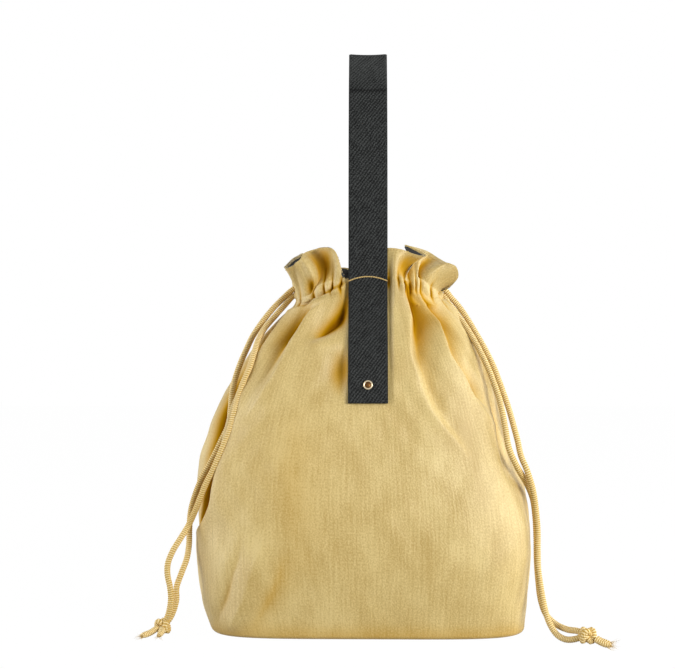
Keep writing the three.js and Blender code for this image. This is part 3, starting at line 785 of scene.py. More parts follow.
half_shares = np.concatenate([np.linspace(0, 0.5, FRONT_COLUMNS), np.linspace(0.5, 1, BACK_COLUMNS)[1:]])
SHARE = whole_turn(-half_shares, half_shares)
turn = np.linspace(0, math.pi / 2, EDGE_ROWS)
row_height = np.concatenate([
    BOTTOM_EDGE * (1 - np.cos(turn)), np.arange(WALL_START, SHOULDER, WALL_STEP),
    np.arange(SHOULDER, NECK_FOOT, SHOULDER_STEP), np.linspace(NECK_FOOT, NECK_TOP, NECK_ROWS),
])
row_inset = np.zeros_like(row_height)
row_inset[:EDGE_ROWS] = BOTTOM_EDGE * (1 - np.sin(turn))
half_depth = depth_at(row_height) - row_inset
middle = len(half_shares) - 1
plain = np.zeros((len(row_height), len(SHARE), 3))
length = np.zeros((len(row_height), 2))
for number, (sign, reach, squareness) in enumerate((
    (-1, LEFT_REACH, LEFT_SQUARENESS), (1, RIGHT_REACH, RIGHT_SQUARENESS),
)):
    reaches = through(SECTION_HEIGHTS, reach, row_height) - row_inset
    powers = through(SHAPE_HEIGHTS, squareness, row_height)
    columns = middle + sign * np.arange(middle + 1)
    for row, sizes in enumerate(zip(reaches, half_depth, powers)):
        line, length[row, number] = half_ring(*sizes, half_shares)
        plain[row, columns, :2] = line * (sign, 1)
root_height = through(ROOT_SHARES, ROOT_HEIGHTS, SHARE)
stretch = (np.maximum(row_height[:, None] - NECK_FOOT, 0) / (NECK_TOP - NECK_FOOT)) ** 2
HEIGHT = row_height[:, None] + stretch * (root_height - NECK_TOP)
plain[..., 2] = HEIGHT
HALF_LENGTH = np.where(SHARE < 0, length[:, :1], length[:, 1:])
plain_normals = wrapped_normals(plain)
print("plain surface:", plain.shape[:2], "points, half a turn is", round(length.max()), "mm")

# %% [markdown]
# ## Folds
# A fold is a ridge or a valley that runs up the cloth. Each is given by a path, its height at a few
# levels and its width on either side, and its cross-section falls off from a rounded crest. A sharp fold
# is narrow on one side and wide on the other. Dimples are round dents and bumps. The back of the bag has
# the same kinds of fold, so it borrows the front ones, turned half round and a little lower.

# %% Fold lines
FOLD_CREST = 0.12
FOLD_FALL = 1.4
BACK_SHARE_OF_FOLDS = 0.7
LEFT_EDGE = [
    (64, -0.40), (73, -0.349), (83, -0.325), (99, -0.315), (115, -0.314), (142, -0.322), (158, -0.328),
    (178, -0.33), (195, -0.342), (216, -0.352),
]
LEFT_SECOND = [(140, -0.27), (158, -0.252), (171, -0.24), (192, -0.228), (206, -0.216), (228, -0.10)]
BY_STRAP = [(190, -0.165), (195, -0.148), (199, -0.132), (205, -0.112), (212, -0.105), (228, -0.10)]
RIGHT_PLEAT = [
    (115, 0.225), (127, 0.203), (138, 0.174), (148, 0.154), (166, 0.137), (181, 0.127), (196, 0.140),
    (207, 0.160), (232, 0.150),
]
RIGHT_SECOND = [
    (135, 0.32), (146, 0.301), (154, 0.286), (167, 0.267), (181, 0.243), (196, 0.253), (205, 0.262),
    (216, 0.245), (225, 0.217),
]
RIGHT_SIDE = [(176, 0.43), (192, 0.44), (208, 0.445)]
RIGHT_GUSSET = [(90, 0.302), (100, 0.30), (113, 0.297), (126, 0.305), (142, 0.325), (160, 0.325)]
CORNER_VALLEY = [(8, -0.325), (25, -0.29), (38, -0.274), (52, -0.256), (68, -0.247)]
CORNER_RIDGE = [(4, -0.30), (14, -0.276), (25, -0.255), (38, -0.239), (52, -0.221), (68, -0.212)]
CORNER_SHADE = [(6, -0.228), (20, -0.196), (36, -0.168), (54, -0.15)]
# Path, distance beside it, heights at levels, width towards the left and towards the right
FOLDS = [
    (LEFT_EDGE, 0, [(60, 0), (83, 2.5), (115, 3), (158, 3.5), (195, 3), (216, 0.5)], 3, 18),
    (LEFT_EDGE, -8, [
        (56, 0), (64, -1), (73, -4), (83, -6), (99, -7.5), (115, -8), (142, -8), (178, -7), (200, -5),
        (216, -2),
    ], 16, 4),
    (LEFT_SECOND, 0, [
        (140, 0), (150, 1.5), (158, 2.5), (175, 3.5), (192, 5), (206, 5), (216, 1.5), (222, 0),
    ], 3, 16),
    (LEFT_SECOND, -7, [
        (140, 0), (158, -1.5), (175, -3.5), (186, -5), (194, -6.5), (200, -6), (206, -4.5), (212, -2),
        (216, 0),
    ], 18, 5),
    (BY_STRAP, 0, [(186, 0), (190, -2), (197, -6.5), (205, -7.5), (213, -5.5), (224, -2), (229, 0)], 9, 9),
    (RIGHT_PLEAT, 0, [
        (112, 0), (127, 1.5), (138, 2.5), (148, 3), (166, 3.5), (181, 4.5), (196, 5), (207, 5),
        (216, 4), (229, 1),
    ], 16, 2),
    (RIGHT_PLEAT, 5.2, [
        (112, 0), (127, -1), (138, -2), (148, -3), (166, -4), (181, -5.2), (196, -7.5), (207, -9),
        (216, -6), (224, -3), (230, 0),
    ], 5, 18),
    (RIGHT_SECOND, 0, [
        (135, 0), (146, 1.5), (154, 2.5), (167, 3.2), (181, 4), (196, 4.5), (205, 4.5), (216, 3),
        (225, 0.5),
    ], 14, 2.2),
    (RIGHT_SECOND, 6, [
        (135, 0), (150, -2), (167, -3), (181, -4), (196, -4.5), (205, -4.5), (214, -3), (220, 0),
    ], 4, 14),
    (RIGHT_SIDE, 0, [(174, 0), (184, -4), (202, -4), (210, 0)], 8, 10),
    (RIGHT_GUSSET, 7, [(90, 0), (100, -1), (113, -2.5), (126, -4), (142, -4), (150, -2), (160, 0)], 3, 10),
    (CORNER_VALLEY, 0, [(5, 0), (14, -2), (44, -1.8), (72, 0)], 8, 5),
    (CORNER_RIDGE, 2, [(2, 0), (8, 2.2), (24, 2.7), (42, 1.8), (70, 0)], 9, 11),
    (CORNER_SHADE, -3, [(4, 0), (14, -1.2), (40, -1.2), (60, 0)], 8, 14),
]
# Share of the turn, level, height, width around and width up
DIMPLES = [
    (-0.13, 186, 2, 18, 6), (-0.07, 172, -4.8, 10, 17), (0.30, 161, -2.5, 7, 9), (-0.2, 30, 0.8, 30, 20),
    (0.16, 60, 0.8, 40, 30), (-0.05, 95, 0.7, 50, 30),
]
print(len(FOLDS), "folds and", len(DIMPLES), "dimples chosen")

# %% Fold shapes
def bell(distance, width):
    """exp(-(d / w)^2): 1 in the middle, and soon 0 beyond the width."""
    return np.exp(-((distance / width) ** 2))


def fold(share, path, offset, heights, minus, plus):
    """Height of one fold: h * exp(-f (sqrt(t^2 + e^2) - e)), with t the distance from the path over the
    width on that side, f the fall and e the roundness of the crest."""
    levels, places = np.array(path).T
    steps, sizes = np.array(heights).T
    away = (share - through(levels, places, row_height)[:, None]) * HALF_LENGTH - offset
    t = away / np.where(away < 0, minus, plus)
    fall = np.exp(-FOLD_FALL * (np.sqrt(t * t + FOLD_CREST**2) - FOLD_CREST))
    return through(steps, sizes, row_height)[:, None] * fall


def dimple(share, place, level, height, around, up):
    """Round dent or bump: its height times a bell around and a bell up."""
    return height * bell((share - place) * HALF_LENGTH, around) * bell(HEIGHT - level, up)


def all_folds(share):
    """Sum of the folds and dimples, with the ridges and the valleys apart."""
    parts = [fold(share, *shape) for shape in FOLDS] + [dimple(share, *shape) for shape in DIMPLES]
    return sum(np.maximum(part, 0) for part in parts), sum(np.minimum(part, 0) for part in parts)


across = np.broadcast_to(SHARE, HALF_LENGTH.shape)
front_ridges, front_valleys = all_folds(across)
back_ridges, back_valleys = all_folds(across - np.where(across < 0, -1, 1))
ridges = front_ridges + BACK_SHARE_OF_FOLDS * back_ridges
valleys = front_valleys + BACK_SHARE_OF_FOLDS * back_valleys
print("folds from", round(valleys.min(), 1), "to", round(ridges.max(), 1), "mm")

# %% [markdown]
# ## Gathers and crumples
# Where the cords draw the neck together the cloth breaks into lumps between sharp creases, and in front it
# bulges over the foot of the casing as a lip. The front lumps are chosen and the rest are uneven. Broad
# pleats lead down from them; a pleat's section is the size of a cosine, with round crests. Low waves of
# many directions crumple the rest, so that no stretch of cloth is quite smooth.

# %% Gather lines
FOOT_SHARES = [
    -1, -0.6, -0.5, -0.4, -0.3, -0.26, -0.225, -0.19, -0.13, -0.08, 0, 0.1, 0.15, 0.2, 0.3, 0.45, 0.6, 1,
]
FOOT_HEIGHTS = [
    216, 213, 210, 208, 209, 211, 215.5, 219.3, 224, 227.5, 229, 230, 227, 222, 218, 215, 215, 216,
]
LIP_SHARES = [-1, -0.6, -0.45, -0.35, -0.27, -0.2, -0.13, -0.09, 0.09, 0.12, 0.2, 0.3, 0.5, 1]
LIP_BULGES = [1, 1, 1, 3, 6, 7, 5, 1, 0, 1, 1, 1, 1.5, 1]
LEFT_LUMPS = [(0.085, 2.2), (0.125, 3.4), (0.165, 3), (0.205, 2.6), (0.262, 4), (0.34, 3), (0.4, 2.5)]
RIGHT_LUMPS = [
    (0.097, 2), (0.135, 3), (0.168, 2.6), (0.2, 3.2), (0.228, 3), (0.255, 2.6), (0.32, 2.2), (0.39, 2),
]
LUMP_WIDTH = 0.05
LIP_FALL, LIP_EDGE = 10, 1.6
LIP_SHADOW_RISE = 2.2
GATHER_LEVEL, GATHER_REACH = 4, 5
BROAD_HEIGHT, BROAD_FALL, BROAD_RISE = 1.2, 16, 6
CASING_LEVEL = 216
STRAP_SIDES = (12.8, 17)
STRAP_FOOT = (141, 150)
BROAD_PLEATS = 9
# Size, fewest and most waves round the bag, shortest and longest wave upwards, number of waves
CRUMPLES = [(0.25, 8, 15, 60, 150, 14), (0.1, 24, 40, 18, 40, 22)]
print("gathers between", len(LEFT_LUMPS), "and", len(RIGHT_LUMPS), "chosen creases")

# %% Gather shapes
def lumps(chosen, seed):
    """Lumps of cloth between creases on one half of the neck: h * sin(pi u)^0.6, with u the place between
    two creases. The front ones are chosen, each with its crease and height, and the rest are uneven. The
    second row is 1 in a crease and falls to 0 as the square of 1 - sin(pi u)."""
    rng = np.random.default_rng(seed)
    creases, heights = np.array(chosen).T
    rest = np.arange(creases[-1] + LUMP_WIDTH, 1 - LUMP_WIDTH / 2, LUMP_WIDTH)
    edges = np.concatenate([[0], creases, rest + rng.uniform(-0.25, 0.25, len(rest)) * LUMP_WIDTH, [1]])
    sizes = np.concatenate([[0], heights, rng.uniform(1.2, 2.8, len(rest))])
    spot = np.clip(np.searchsorted(edges, half_shares, side="right") - 1, 0, len(sizes) - 1)
    arch = np.sin(math.pi * (half_shares - edges[spot]) / (edges[spot + 1] - edges[spot])).clip(0, 1)
    return sizes[spot] * arch**0.6, (1 - arch) ** 2 * (half_shares > creases[0] / 2)


def pleats(count, wander, seed):
    """Pleats round half the neck: the size of a cosine, about its mean, with the count made uneven."""
    rng = np.random.default_rng(seed)
    shift = np.zeros_like(SHARE)
    for n in (2, 3, 5, 7):
        shift += rng.normal(0, wander / n) * np.sin(math.pi * n * SHARE + rng.uniform(0, 6.3))
    return np.abs(np.cos(math.pi * count * (SHARE + shift))) ** 0.8 - 0.68


def crumple(size, fewest, most, shortest, longest, count, rng):
    """Sum of seeded waves: a whole number round the bag, and any length upwards."""
    total = np.zeros_like(HALF_LENGTH)
    for _ in range(count):
        around = math.pi * rng.integers(fewest, most) * rng.choice([-1, 1])
        upward = math.tau / rng.uniform(shortest, longest)
        total += np.cos(around * SHARE + upward * HEIGHT + rng.uniform(0, math.tau))
    return size * total / math.sqrt(count / 2)


foot = through(FOOT_SHARES, FOOT_HEIGHTS, SHARE)
below = np.maximum(foot - HEIGHT, 0)
above = np.maximum(HEIGHT - foot, 0)
to_root = np.maximum(root_height - HEIGHT, 0)
bulge = through(LIP_SHARES, LIP_BULGES, SHARE)
lip = bulge * np.exp(-below / LIP_FALL) * bell(above, LIP_EDGE)
# Painted shadow along the top edge of the lip, used only by the colour
lip_shadow = bulge / max(LIP_BULGES) * bell(above - LIP_SHADOW_RISE, LIP_EDGE) * (above > 0)
neck_halves = zip(lumps(LEFT_LUMPS, 3), lumps(RIGHT_LUMPS, 4))
# The crease row marks where painted shade goes in the gathers
lump, crease = [whole_turn(*pair) for pair in neck_halves]
gathered = bell(to_root - GATHER_LEVEL, GATHER_REACH)
fine = (lump - 1) * gathered
broad = BROAD_HEIGHT * pleats(BROAD_PLEATS, 0.03, 5) * np.exp(-below / BROAD_FALL - above / BROAD_RISE)
rng = np.random.default_rng(8)
waves = sum(crumple(*shape, rng) for shape in CRUMPLES)
calm = smooth(HEIGHT, 3, 25) * (1 - 0.6 * smooth(HEIGHT, 205, CASING_LEVEL))
under_strap = (1 - smooth(np.abs(plain[..., 0]), *STRAP_SIDES)) * smooth(HEIGHT, *STRAP_FOOT)
relief = ridges + valleys + lip + fine + broad + waves * calm + smooth(HEIGHT, NECK_FOOT, CASING_LEVEL)
relief = relief * (1 - under_strap) - 0.35 * under_strap
relief = np.where(HEIGHT > 214, np.maximum(relief, -1.0), relief)
relief *= smooth(HEIGHT, 0, 8)
print("relief from", round(relief.min(), 1), "to", round(relief.max(), 1), "mm")

# %% [markdown]
# ## Cloth under the cords
# The strands lie on the cloth, so the cloth gives way under them. Every point that is nearer to a strand's
# middle than the cord's radius and a little room is moved in by what is missing. The distances are taken
# in blocks of rows, so that the arrays stay small.

# %% Press the cloth
CORD_ROOM = CORD_DIAMETER / 2 + 0.25
BLOCKS = 24
BLOCK_MARGIN = 12
cloth = plain + plain_normals * relief[..., None]
strand_points = np.concatenate([path[::PATH_SKIP] for _, path, _ in STRANDS.values()])
pressed = 0.0
for block in np.array_split(np.arange(len(cloth)), BLOCKS):
    low, high = row_height[block[0]] - BLOCK_MARGIN, row_height[block[-1]] + BLOCK_MARGIN
    near = strand_points[(strand_points[:, 2] > low) & (strand_points[:, 2] < high)]
    if len(near) and low > 0:
        gap = np.linalg.norm(cloth[block][:, :, None] - near, axis=-1).min(axis=-1)
        push = np.maximum(CORD_ROOM - gap, 0) * (1 - smooth(HEIGHT[block], 212, CASING_LEVEL))
        cloth[block] -= plain_normals[block] * push[..., None]
        relief[block] -= push
        pressed = max(pressed, push.max())
print("cloth pressed in by up to", round(float(pressed), 1), "mm under the strands")

# %% [markdown]
# ## The ruffle
# Above the casing the cloth opens into a ruffle. Its rim is a closed line of chosen points that swings
# forward into lobes and back into hollows, with one double fold on the right. Every column of cloth rises
# from the casing to its point of the rim on a quadratic Bezier curve, and the middle point of that curve
# bellies out in a lobe and sinks in a hollow. Small pockets are pressed in where the cloth tucks under.

# %% Ruffle lines
RUFFLE_ROWS = 34
# Rims: share of the turn, x, y and z. Bellies: share of the turn, how far out and how far sideways
LEFT_RIM = [
    (0, 0, -35.5, 233), (0.05, -8, -35.5, 232), (0.095, -15, -36, 231.5), (0.12, -18, -36.4, 235),
    (0.135, -19.5, -36.6, 244), (0.155, -22.4, -36.6, 249.6), (0.175, -26.5, -36, 251),
    (0.192, -30, -30, 251.3), (0.215, -34.5, -22, 251), (0.235, -39.5, -24, 249.5),
    (0.25, -42.5, -31, 247.5), (0.265, -43.7, -36, 245.3), (0.295, -46, -35.5, 242),
    (0.33, -49.6, -34.5, 239.2), (0.36, -53.5, -32, 237.8), (0.385, -55.5, -26, 239.3),
    (0.41, -51.5, -19, 244), (0.44, -47, -14, 247), (0.475, -44, -8, 249), (0.51, -50, 0, 246),
    (0.55, -54, 9, 243), (0.60, -46, 16, 248), (0.67, -38, 26, 249), (0.73, -33, 35, 246),
    (0.79, -24, 34, 242), (0.85, -16, 37.2, 241), (0.92, -8, 34, 241), (1, 0, 36, 243),
]
RIGHT_RIM = [
    (0, 0, -35.5, 233), (0.05, 6, -36, 244), (0.08, 10.5, -36.2, 250.3), (0.10, 15, -36.4, 250.8),
    (0.125, 22.5, -35.9, 249.7), (0.15, 30.5, -35, 246.6), (0.17, 37, -36, 245.3),
    (0.18, 38.5, -31.5, 246), (0.195, 33, -24, 250), (0.21, 25.5, -19, 253.5), (0.22, 25, -15, 253.8),
    (0.235, 32, -12, 252.6), (0.25, 40, -12, 250), (0.265, 46.5, -17, 245.3), (0.277, 50, -22, 242.8),
    (0.305, 54.5, -25, 241.2), (0.33, 58, -24.5, 239), (0.35, 60, -23, 235), (0.37, 59.5, -21.5, 231.5),
    (0.39, 56, -20, 228), (0.415, 51.5, -18, 225.5), (0.44, 47, -14, 225), (0.48, 45, -5, 227),
    (0.525, 45, 3, 231), (0.57, 45.5, 9, 236), (0.615, 46, 14, 241), (0.67, 42, 20, 247),
    (0.735, 36, 30, 249), (0.79, 26, 32, 248), (0.86, 18, 37.2, 249), (0.94, 8, 34, 247),
    (1, 0, 36, 246),
]
LEFT_BELLY = [
    (0, 0, 0), (0.05, 0, 0), (0.10, -1, 0), (0.13, 1, 3), (0.15, 1, 2), (0.17, -4, 0), (0.19, -8, 0),
    (0.215, -10, 0), (0.24, -9, 2), (0.255, -1, 7), (0.27, 6, 10), (0.29, 4, 5), (0.33, 2, 2),
    (0.37, 2, 0), (0.42, -2, 0), (0.47, -3, 0), (0.52, 3, 0), (0.6, -2, 0), (0.7, 2, 0), (0.8, -2, 0),
    (0.9, 1, 0), (1, 0, 0),
]
RIGHT_BELLY = [
    (0, 0, 0), (0.05, 0, 0), (0.08, 1, 0), (0.10, 2, 0), (0.125, 1, 0), (0.142, -6, 0), (0.158, -10, 0),
    (0.169, -6, 1), (0.178, -1, 0), (0.19, -5, -2), (0.215, -5, 0), (0.235, 1, 0), (0.25, 0, -2),
    (0.262, -8, -3), (0.278, 3, -2), (0.31, 4, 0), (0.35, 4, 0), (0.39, 2, 0), (0.43, 1, 0), (0.5, 0, 0),
    (0.56, -2, 0), (0.62, 3, 0), (0.7, -2, 0), (0.8, 1, 0), (0.9, -1, 0), (1, 0, 0),
]
POCKETS = [(-0.283, 0.22, 0.012, 0.22), (0.252, 0.12, 0.008, 0.2)]
POCKET_DEPTH = 3.5
KNEE_LEVEL = 0.55
FLUTTER = 0.28
print("rim through", len(LEFT_RIM), "and", len(RIGHT_RIM), "points")

# %% Ruffle surface
def both_sides(left, right):
    """One row of values over the whole turn from two lists that run from the front to the back."""
    halves = [np.array(half, float) for half in (left, right)]
    return whole_turn(*[through(half[:, 0], half[:, 1:], half_shares) for half in halves])


rim = both_sides(LEFT_RIM, RIGHT_RIM)
belly = both_sides(LEFT_BELLY, RIGHT_BELLY)
root = cloth[-1]
outward = unit(plain_normals[-1] * (1, 1, 0))
up = np.array([0, 0, 1.0])
sideways = np.cross(up, outward)
knee = root + up * (KNEE_LEVEL * (rim[:, 2:] - root[:, 2:]))
knee += outward * belly[:, :1] + sideways * belly[:, 1:]
rise = np.linspace(0, 1, RUFFLE_ROWS + 1)[1:, None, None]
rise_level = rise[..., 0]
ruffle = (1 - rise) ** 2 * root + 2 * rise * (1 - rise) * knee + rise**2 * rim
rng = np.random.default_rng(14)
flutter = sum(np.cos(math.pi * n * SHARE + rng.uniform(0, 6.3)) for n in (17, 23, 31, 38)) * FLUTTER
ruffle += outward * (rise * (flutter * smooth(np.abs(SHARE), 0.1, 0.14))[:, None])
pocket = sum(
    bell(SHARE - place, wide) * bell(rise_level - level, tall) for place, level, wide, tall in POCKETS
)
ruffle -= outward * (POCKET_DEPTH * pocket)[..., None]
canvas = np.concatenate([cloth, ruffle])
canvas_normals = wrapped_normals(canvas)
print("ruffle rim from z", round(rim[:, 2].min(), 1), "to", round(rim[:, 2].max(), 1), "mm")

# %% [markdown]
# ## Canvas in two halves
# Each side of the neck moves on its own when its cord is pulled, so the canvas is two meshes that meet in
# the middle of the front and the back. Both take their normals from the whole grid, so the meeting line
# doesn't show. Shade is painted into the colour as a dark gold mark: on the body from the valleys, the
# creases, a painted shadow above the lip, a few chosen lines (beside the left gusset, at the lower corner,
# on the front and by the pleats) and painted shade near the floor; in the ruffle from its hollows, its
# creases and its pockets.

# %% Canvas halves
CANVAS_THICKNESS = 0.8
CLOTH_HALF_WIDTH = 330
# Painted shade near the floor, darker towards the bottom edge
FLOOR_SHADE = 0.4
# Strength of the valleys' painted shade round the turn
TINT_SHARES = [-1, -0.3, -0.2, -0.14, 0, 0.05]
TINTS = [0.5, 0.7, 0.95, 1, 0.9, 0.52]
# Painted shade lines: path, distance beside it, strength at levels, width towards the left and towards the
# right
FRONT_SHADE = [(40, -0.13), (90, -0.15), (150, -0.16)]
SHADE_LINES = [
    (LEFT_EDGE, -12, [(56, 0), (68, 0.6), (100, 0.65), (150, 0.6), (180, 0.4), (205, 0)], 13, 9),
    (CORNER_VALLEY, 0, [(6, 0), (16, 0.12), (48, 0.15), (70, 0)], 5, 4),
    (CORNER_SHADE, -4, [(4, 0), (16, 0.36), (40, 0.38), (62, 0)], 8, 14),
    (FRONT_SHADE, 0, [(34, 0), (66, 0.22), (130, 0.24), (165, 0)], 26, 34),
    (RIGHT_PLEAT, 2.8, [(188, 0), (200, 0.5), (212, 1.1), (222, 1.0), (230, 0)], 1.2, 3),
    (RIGHT_SECOND, 2.8, [(190, 0), (204, 0.4), (214, 0.8), (222, 0)], 1.2, 3),
    (LEFT_SECOND, -3, [(176, 0), (190, 0.4), (203, 0.6), (212, 0)], 3, 1.2),
]
BLEND_START, BLEND_END = (25, 0, 215), (43.7, 0, 230.6)
HALVES = {"left": slice(0, middle + 1), "right": slice(middle, None)}
column_run = np.cumsum(np.linalg.norm(np.diff(canvas, axis=0), axis=-1), axis=0).mean(axis=1)
canvas_uv = grid_uv(SHARE * CLOTH_HALF_WIDTH, np.concatenate([[0], column_run]))
# Painted shade on the body: valleys, the gathers' creases, the lip's shadow, the shade lines and the floor
painted_shade = np.interp(SHARE, TINT_SHARES, TINTS) * np.clip((-valleys - 1.5) / 4, 0, 1.4)
painted_shade += 1.5 * crease * gathered + 0.9 * lip_shadow
painted_shade += sum(fold(across, *line) for line in SHADE_LINES)
painted_shade += FLOOR_SHADE * (1 - smooth(HEIGHT, 1, 16))
# Painted shade in the ruffle: its hollows, its creases and its pockets
ruffle_painted_shade = np.clip(-belly[:, 0] / 9, 0, 0.85) * (4 * rise_level * (1 - rise_level)) ** 0.6
ruffle_painted_shade += crease * (1 - rise_level) ** 3 + 1.2 * pocket
hollow = np.concatenate([painted_shade, ruffle_painted_shade])


def blend_with_neck(piece, side):
    """Bakes the piece's transform into its mesh; the blend's two ends are worked out but not used."""
    sign = -1 if side == "left" else 1
    start, end = [(sign * x * MM, y * MM, z * MM) for x, y, z in (BLEND_START, BLEND_END)]
    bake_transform(piece)


for side, part in HALVES.items():
    outer, facing = canvas[:, part], canvas_normals[:, part]
    inner = outer - CANVAS_THICKNESS * facing
    piece = put_shell(f"{side}_canvas", outer, inner, CANVAS, canvas_uv[:, part], facing, hollow[:, part])
    panels = ["outer_front_panel", "outer_back_panel", f"{side}_casing", f"{side}_ruffle"]
    dress(piece, nodes=panels)
    blend_with_neck(piece, side)
    print(piece.name, len(piece.data.polygons), "faces")

# %% [markdown]
# ## Lining and foam
# Inside the canvas are a foam layer up to the waist and a dark lining that goes on through the neck to
# the rim of the ruffle. They follow the canvas at their own depths, and where a fold sinks they sink with
# it. Where the ruffle turns sharply the lining lies closer to the canvas, so that it never comes through.
# Fewer rows are enough, because only the lining's upper edge is ever seen.

# %% Lining and foam
LINING_DEPTH = 5.6
CASING_ROOM = 1.9
LINING_GAP = 2.4
LINING_THICKNESS = 0.3
LINING_LOW = 8
ROOT_INSET = 6.2
RIM_INSET = 1.1
BARE_ROWS = 2
FOLD_SHARE, FOLD_WIDTH = 0.188, 0.03
FOAM_DEPTH = 1.7
FOAM_GAP = 1.3
FOAM_THICKNESS = 3.2
FOAM_LOW, FOAM_HIGH = 6.5, 148


def plain_cloth_material(name, dark, light, roughness, scale):
    """Woven cloth, foam or board: fine noise between two colours, and a bump from the same noise."""
    material, start = new_material(name)
    grain = object_noise(start, scale, 4.0)
    color = grain.step(0.3, 0.7).mix(dark, light)
    finish_material(start, {"Base Color": color, "Roughness": roughness, "Normal": bumped(grain, 0.4, 0.3)})
    return material


LINING = plain_cloth_material("dark_lining", (0.02, 0.02, 0.018, 1), (0.035, 0.034, 0.03, 1), 0.7, 900)
FOAM = plain_cloth_material("white_foam", (0.72, 0.71, 0.68, 1), (0.86, 0.85, 0.82, 1), 0.95, 1400)
sunk = np.maximum(-relief, 0)
lining_depth = LINING_DEPTH + CASING_ROOM * smooth(HEIGHT, 200, CASING_LEVEL)
lining_inset = np.maximum(lining_depth, sunk + LINING_GAP)
lining_body = plain - plain_normals * lining_inset[..., None]
root_inset = ROOT_INSET * (1 - smooth(rise, 0, 0.25))
ruffle_normals = canvas_normals[len(cloth):]
turning = np.linalg.norm(np.gradient(ruffle_normals, axis=1), axis=-1)
bend = turning / np.linalg.norm(np.gradient(ruffle, axis=1), axis=-1)
sharpest = np.max([np.roll(bend, shift, axis=1) for shift in range(-4, 5)], axis=0)
folded = np.exp(-(((SHARE - FOLD_SHARE) / FOLD_WIDTH) ** 4)) * (1 - smooth(rise_level, 0.6, 0.8))
rim_inset = np.clip(0.5 / sharpest, 0.3, RIM_INSET) * (1 - 0.75 * folded)
lining_ruffle = ruffle - ruffle_normals * rim_inset[..., None] - outward * root_inset
wall_rows = np.flatnonzero(row_height > LINING_LOW)[::2]
lining_rows = np.concatenate([wall_rows, len(cloth) + np.arange(RUFFLE_ROWS - BARE_ROWS)])
lining = np.concatenate([lining_body, lining_ruffle])[lining_rows]
foam_rows = (row_height > FOAM_LOW) & (row_height < FOAM_HIGH)
foam_inset = np.maximum(FOAM_DEPTH, sunk + FOAM_GAP)
foam_outer = (plain - plain_normals * foam_inset[..., None])[foam_rows][::2]
foam_inner = foam_outer - FOAM_THICKNESS * plain_normals[foam_rows][::2]
for side, part in HALVES.items():
    sheet = lining[:, part]
    piece = put_shell(f"{side}_lining", sheet, sheet - LINING_THICKNESS * grid_normals(sheet), LINING)
    dress(piece, nodes=["lining_wall", f"{side}_ruffle_lining"])
    blend_with_neck(piece, side)
    foam = put_shell(f"{side}_foam", foam_outer[:, part][:, ::2], foam_inner[:, part][:, ::2], FOAM)
    dress(foam, nodes=["insulation_front", "insulation_back"])
    blend_with_neck(foam, side)

# %% [markdown]
# ## Base
# The bag stands on a flat canvas panel. Over it lie a stiff board, a foam pad and the floor of the lining.
# The panel, the pad and the lining floor are made from the bottom outline of the cloth, drawn in towards
# the middle in rings. The board keeps its plain solid and only gets a finish.

# %% Base layers
DISC_RINGS = np.linspace(1, 0.02, 24)[:, None, None]


def disc(name, outline, low, high, material):
    """Closed plate between two heights inside an outline that is drawn in to the middle in rings."""
    centre = outline.mean(axis=0)
    top = centre + DISC_RINGS * (outline - centre)
    bottom = top.copy()
    top[..., 2], bottom[..., 2] = high, low
    return put_shell(name, top, bottom, material, top[..., :2])


def shrunk(outline, inset):
    """An outline moved in by so many millimetres along its own normals in plan."""
    step = np.gradient(outline, axis=0)
    return outline - inset * unit(np.stack([step[:, 1], -step[:, 0], 0 * step[:, 0]], axis=-1))


def refinish(node, material):
    """Gives a plain solid that stays in the scene a finish of its own."""
    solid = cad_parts[node]
    solid.data.materials.clear()
    solid.data.materials.append(material)


bottom_line = plain[0][::3]
wall_line = plain[EDGE_ROWS][::3]
base = disc("canvas_base", bottom_line, 0.1, 0.9, CANVAS)
base_pad = disc("base_pad", shrunk(wall_line, 6.5), 3.9, 7.2, FOAM)
lining_base = disc("lining_base", shrunk(wall_line, 7.5), 7.6, 8.2, LINING)
dress(base, "bag", ["outer_base_panel"])
dress(base_pad, "bag", ["insulation_base"])
dress(lining_base, "bag", ["lining_floor"])
BOARD = plain_cloth_material("grey_board", (0.2, 0.17, 0.13, 1), (0.28, 0.25, 0.2, 1), 0.9, 700)
refinish("base_board", BOARD)
print("base layers done")

# %% [markdown]
# ## Strap
# The strap is one length of dark twill webbing: sewn to the front, over the mouth and sewn to the back. It
# is a flat ribbon along a path in the plane of the bag's depth. The diagonal ribs of the twill come from a
# sine of both UV directions, and a plain border runs along each edge. Below the top an attribute paints
# shade along the fold line that crosses it, and painted light on the stretch above it, which faces up.

# %% Webbing
STRAP_WIDTH = 25.5
STRAP_THICKNESS = 1.6
STRAP_STEP = 1.25
STRAP_LIFT = 1.1
STRAP_CREASE = 355.5
STRAP_SAG = 0.6
STRAP_TOP = (372, 382)
TWILL_PITCH = 1.85
TWILL_CUT = 1.6
TWILL_DRIFT = 1.7
TWILL_SLOPE = math.radians(36)
PICK_PITCH = 0.62
BORDER = (11.2 * MM, 11.8 * MM)
SELVEDGE, SELVEDGE_SHARE = 12.2, 0.55
WEBBING_DARK = (0.0004, 0.0005, 0.0005, 1)
WEBBING_LIGHT = (0.062, 0.066, 0.064, 1)
LOOP_FRONT = [
    (0, -39.1, 238), (0, -39.1, 247), (0, -39, 257), (0, -38, 280), (0, -35.4, 307), (0, -30, 334),
    (0, -23.4, 353), (0, -21.6, 358), (0, -18.6, 362.5), (0, -12.4, 371.5), (0, -6.4, 379.6),
    (0, -4.2, 382.6), (0, -1.5, 383.2),
]


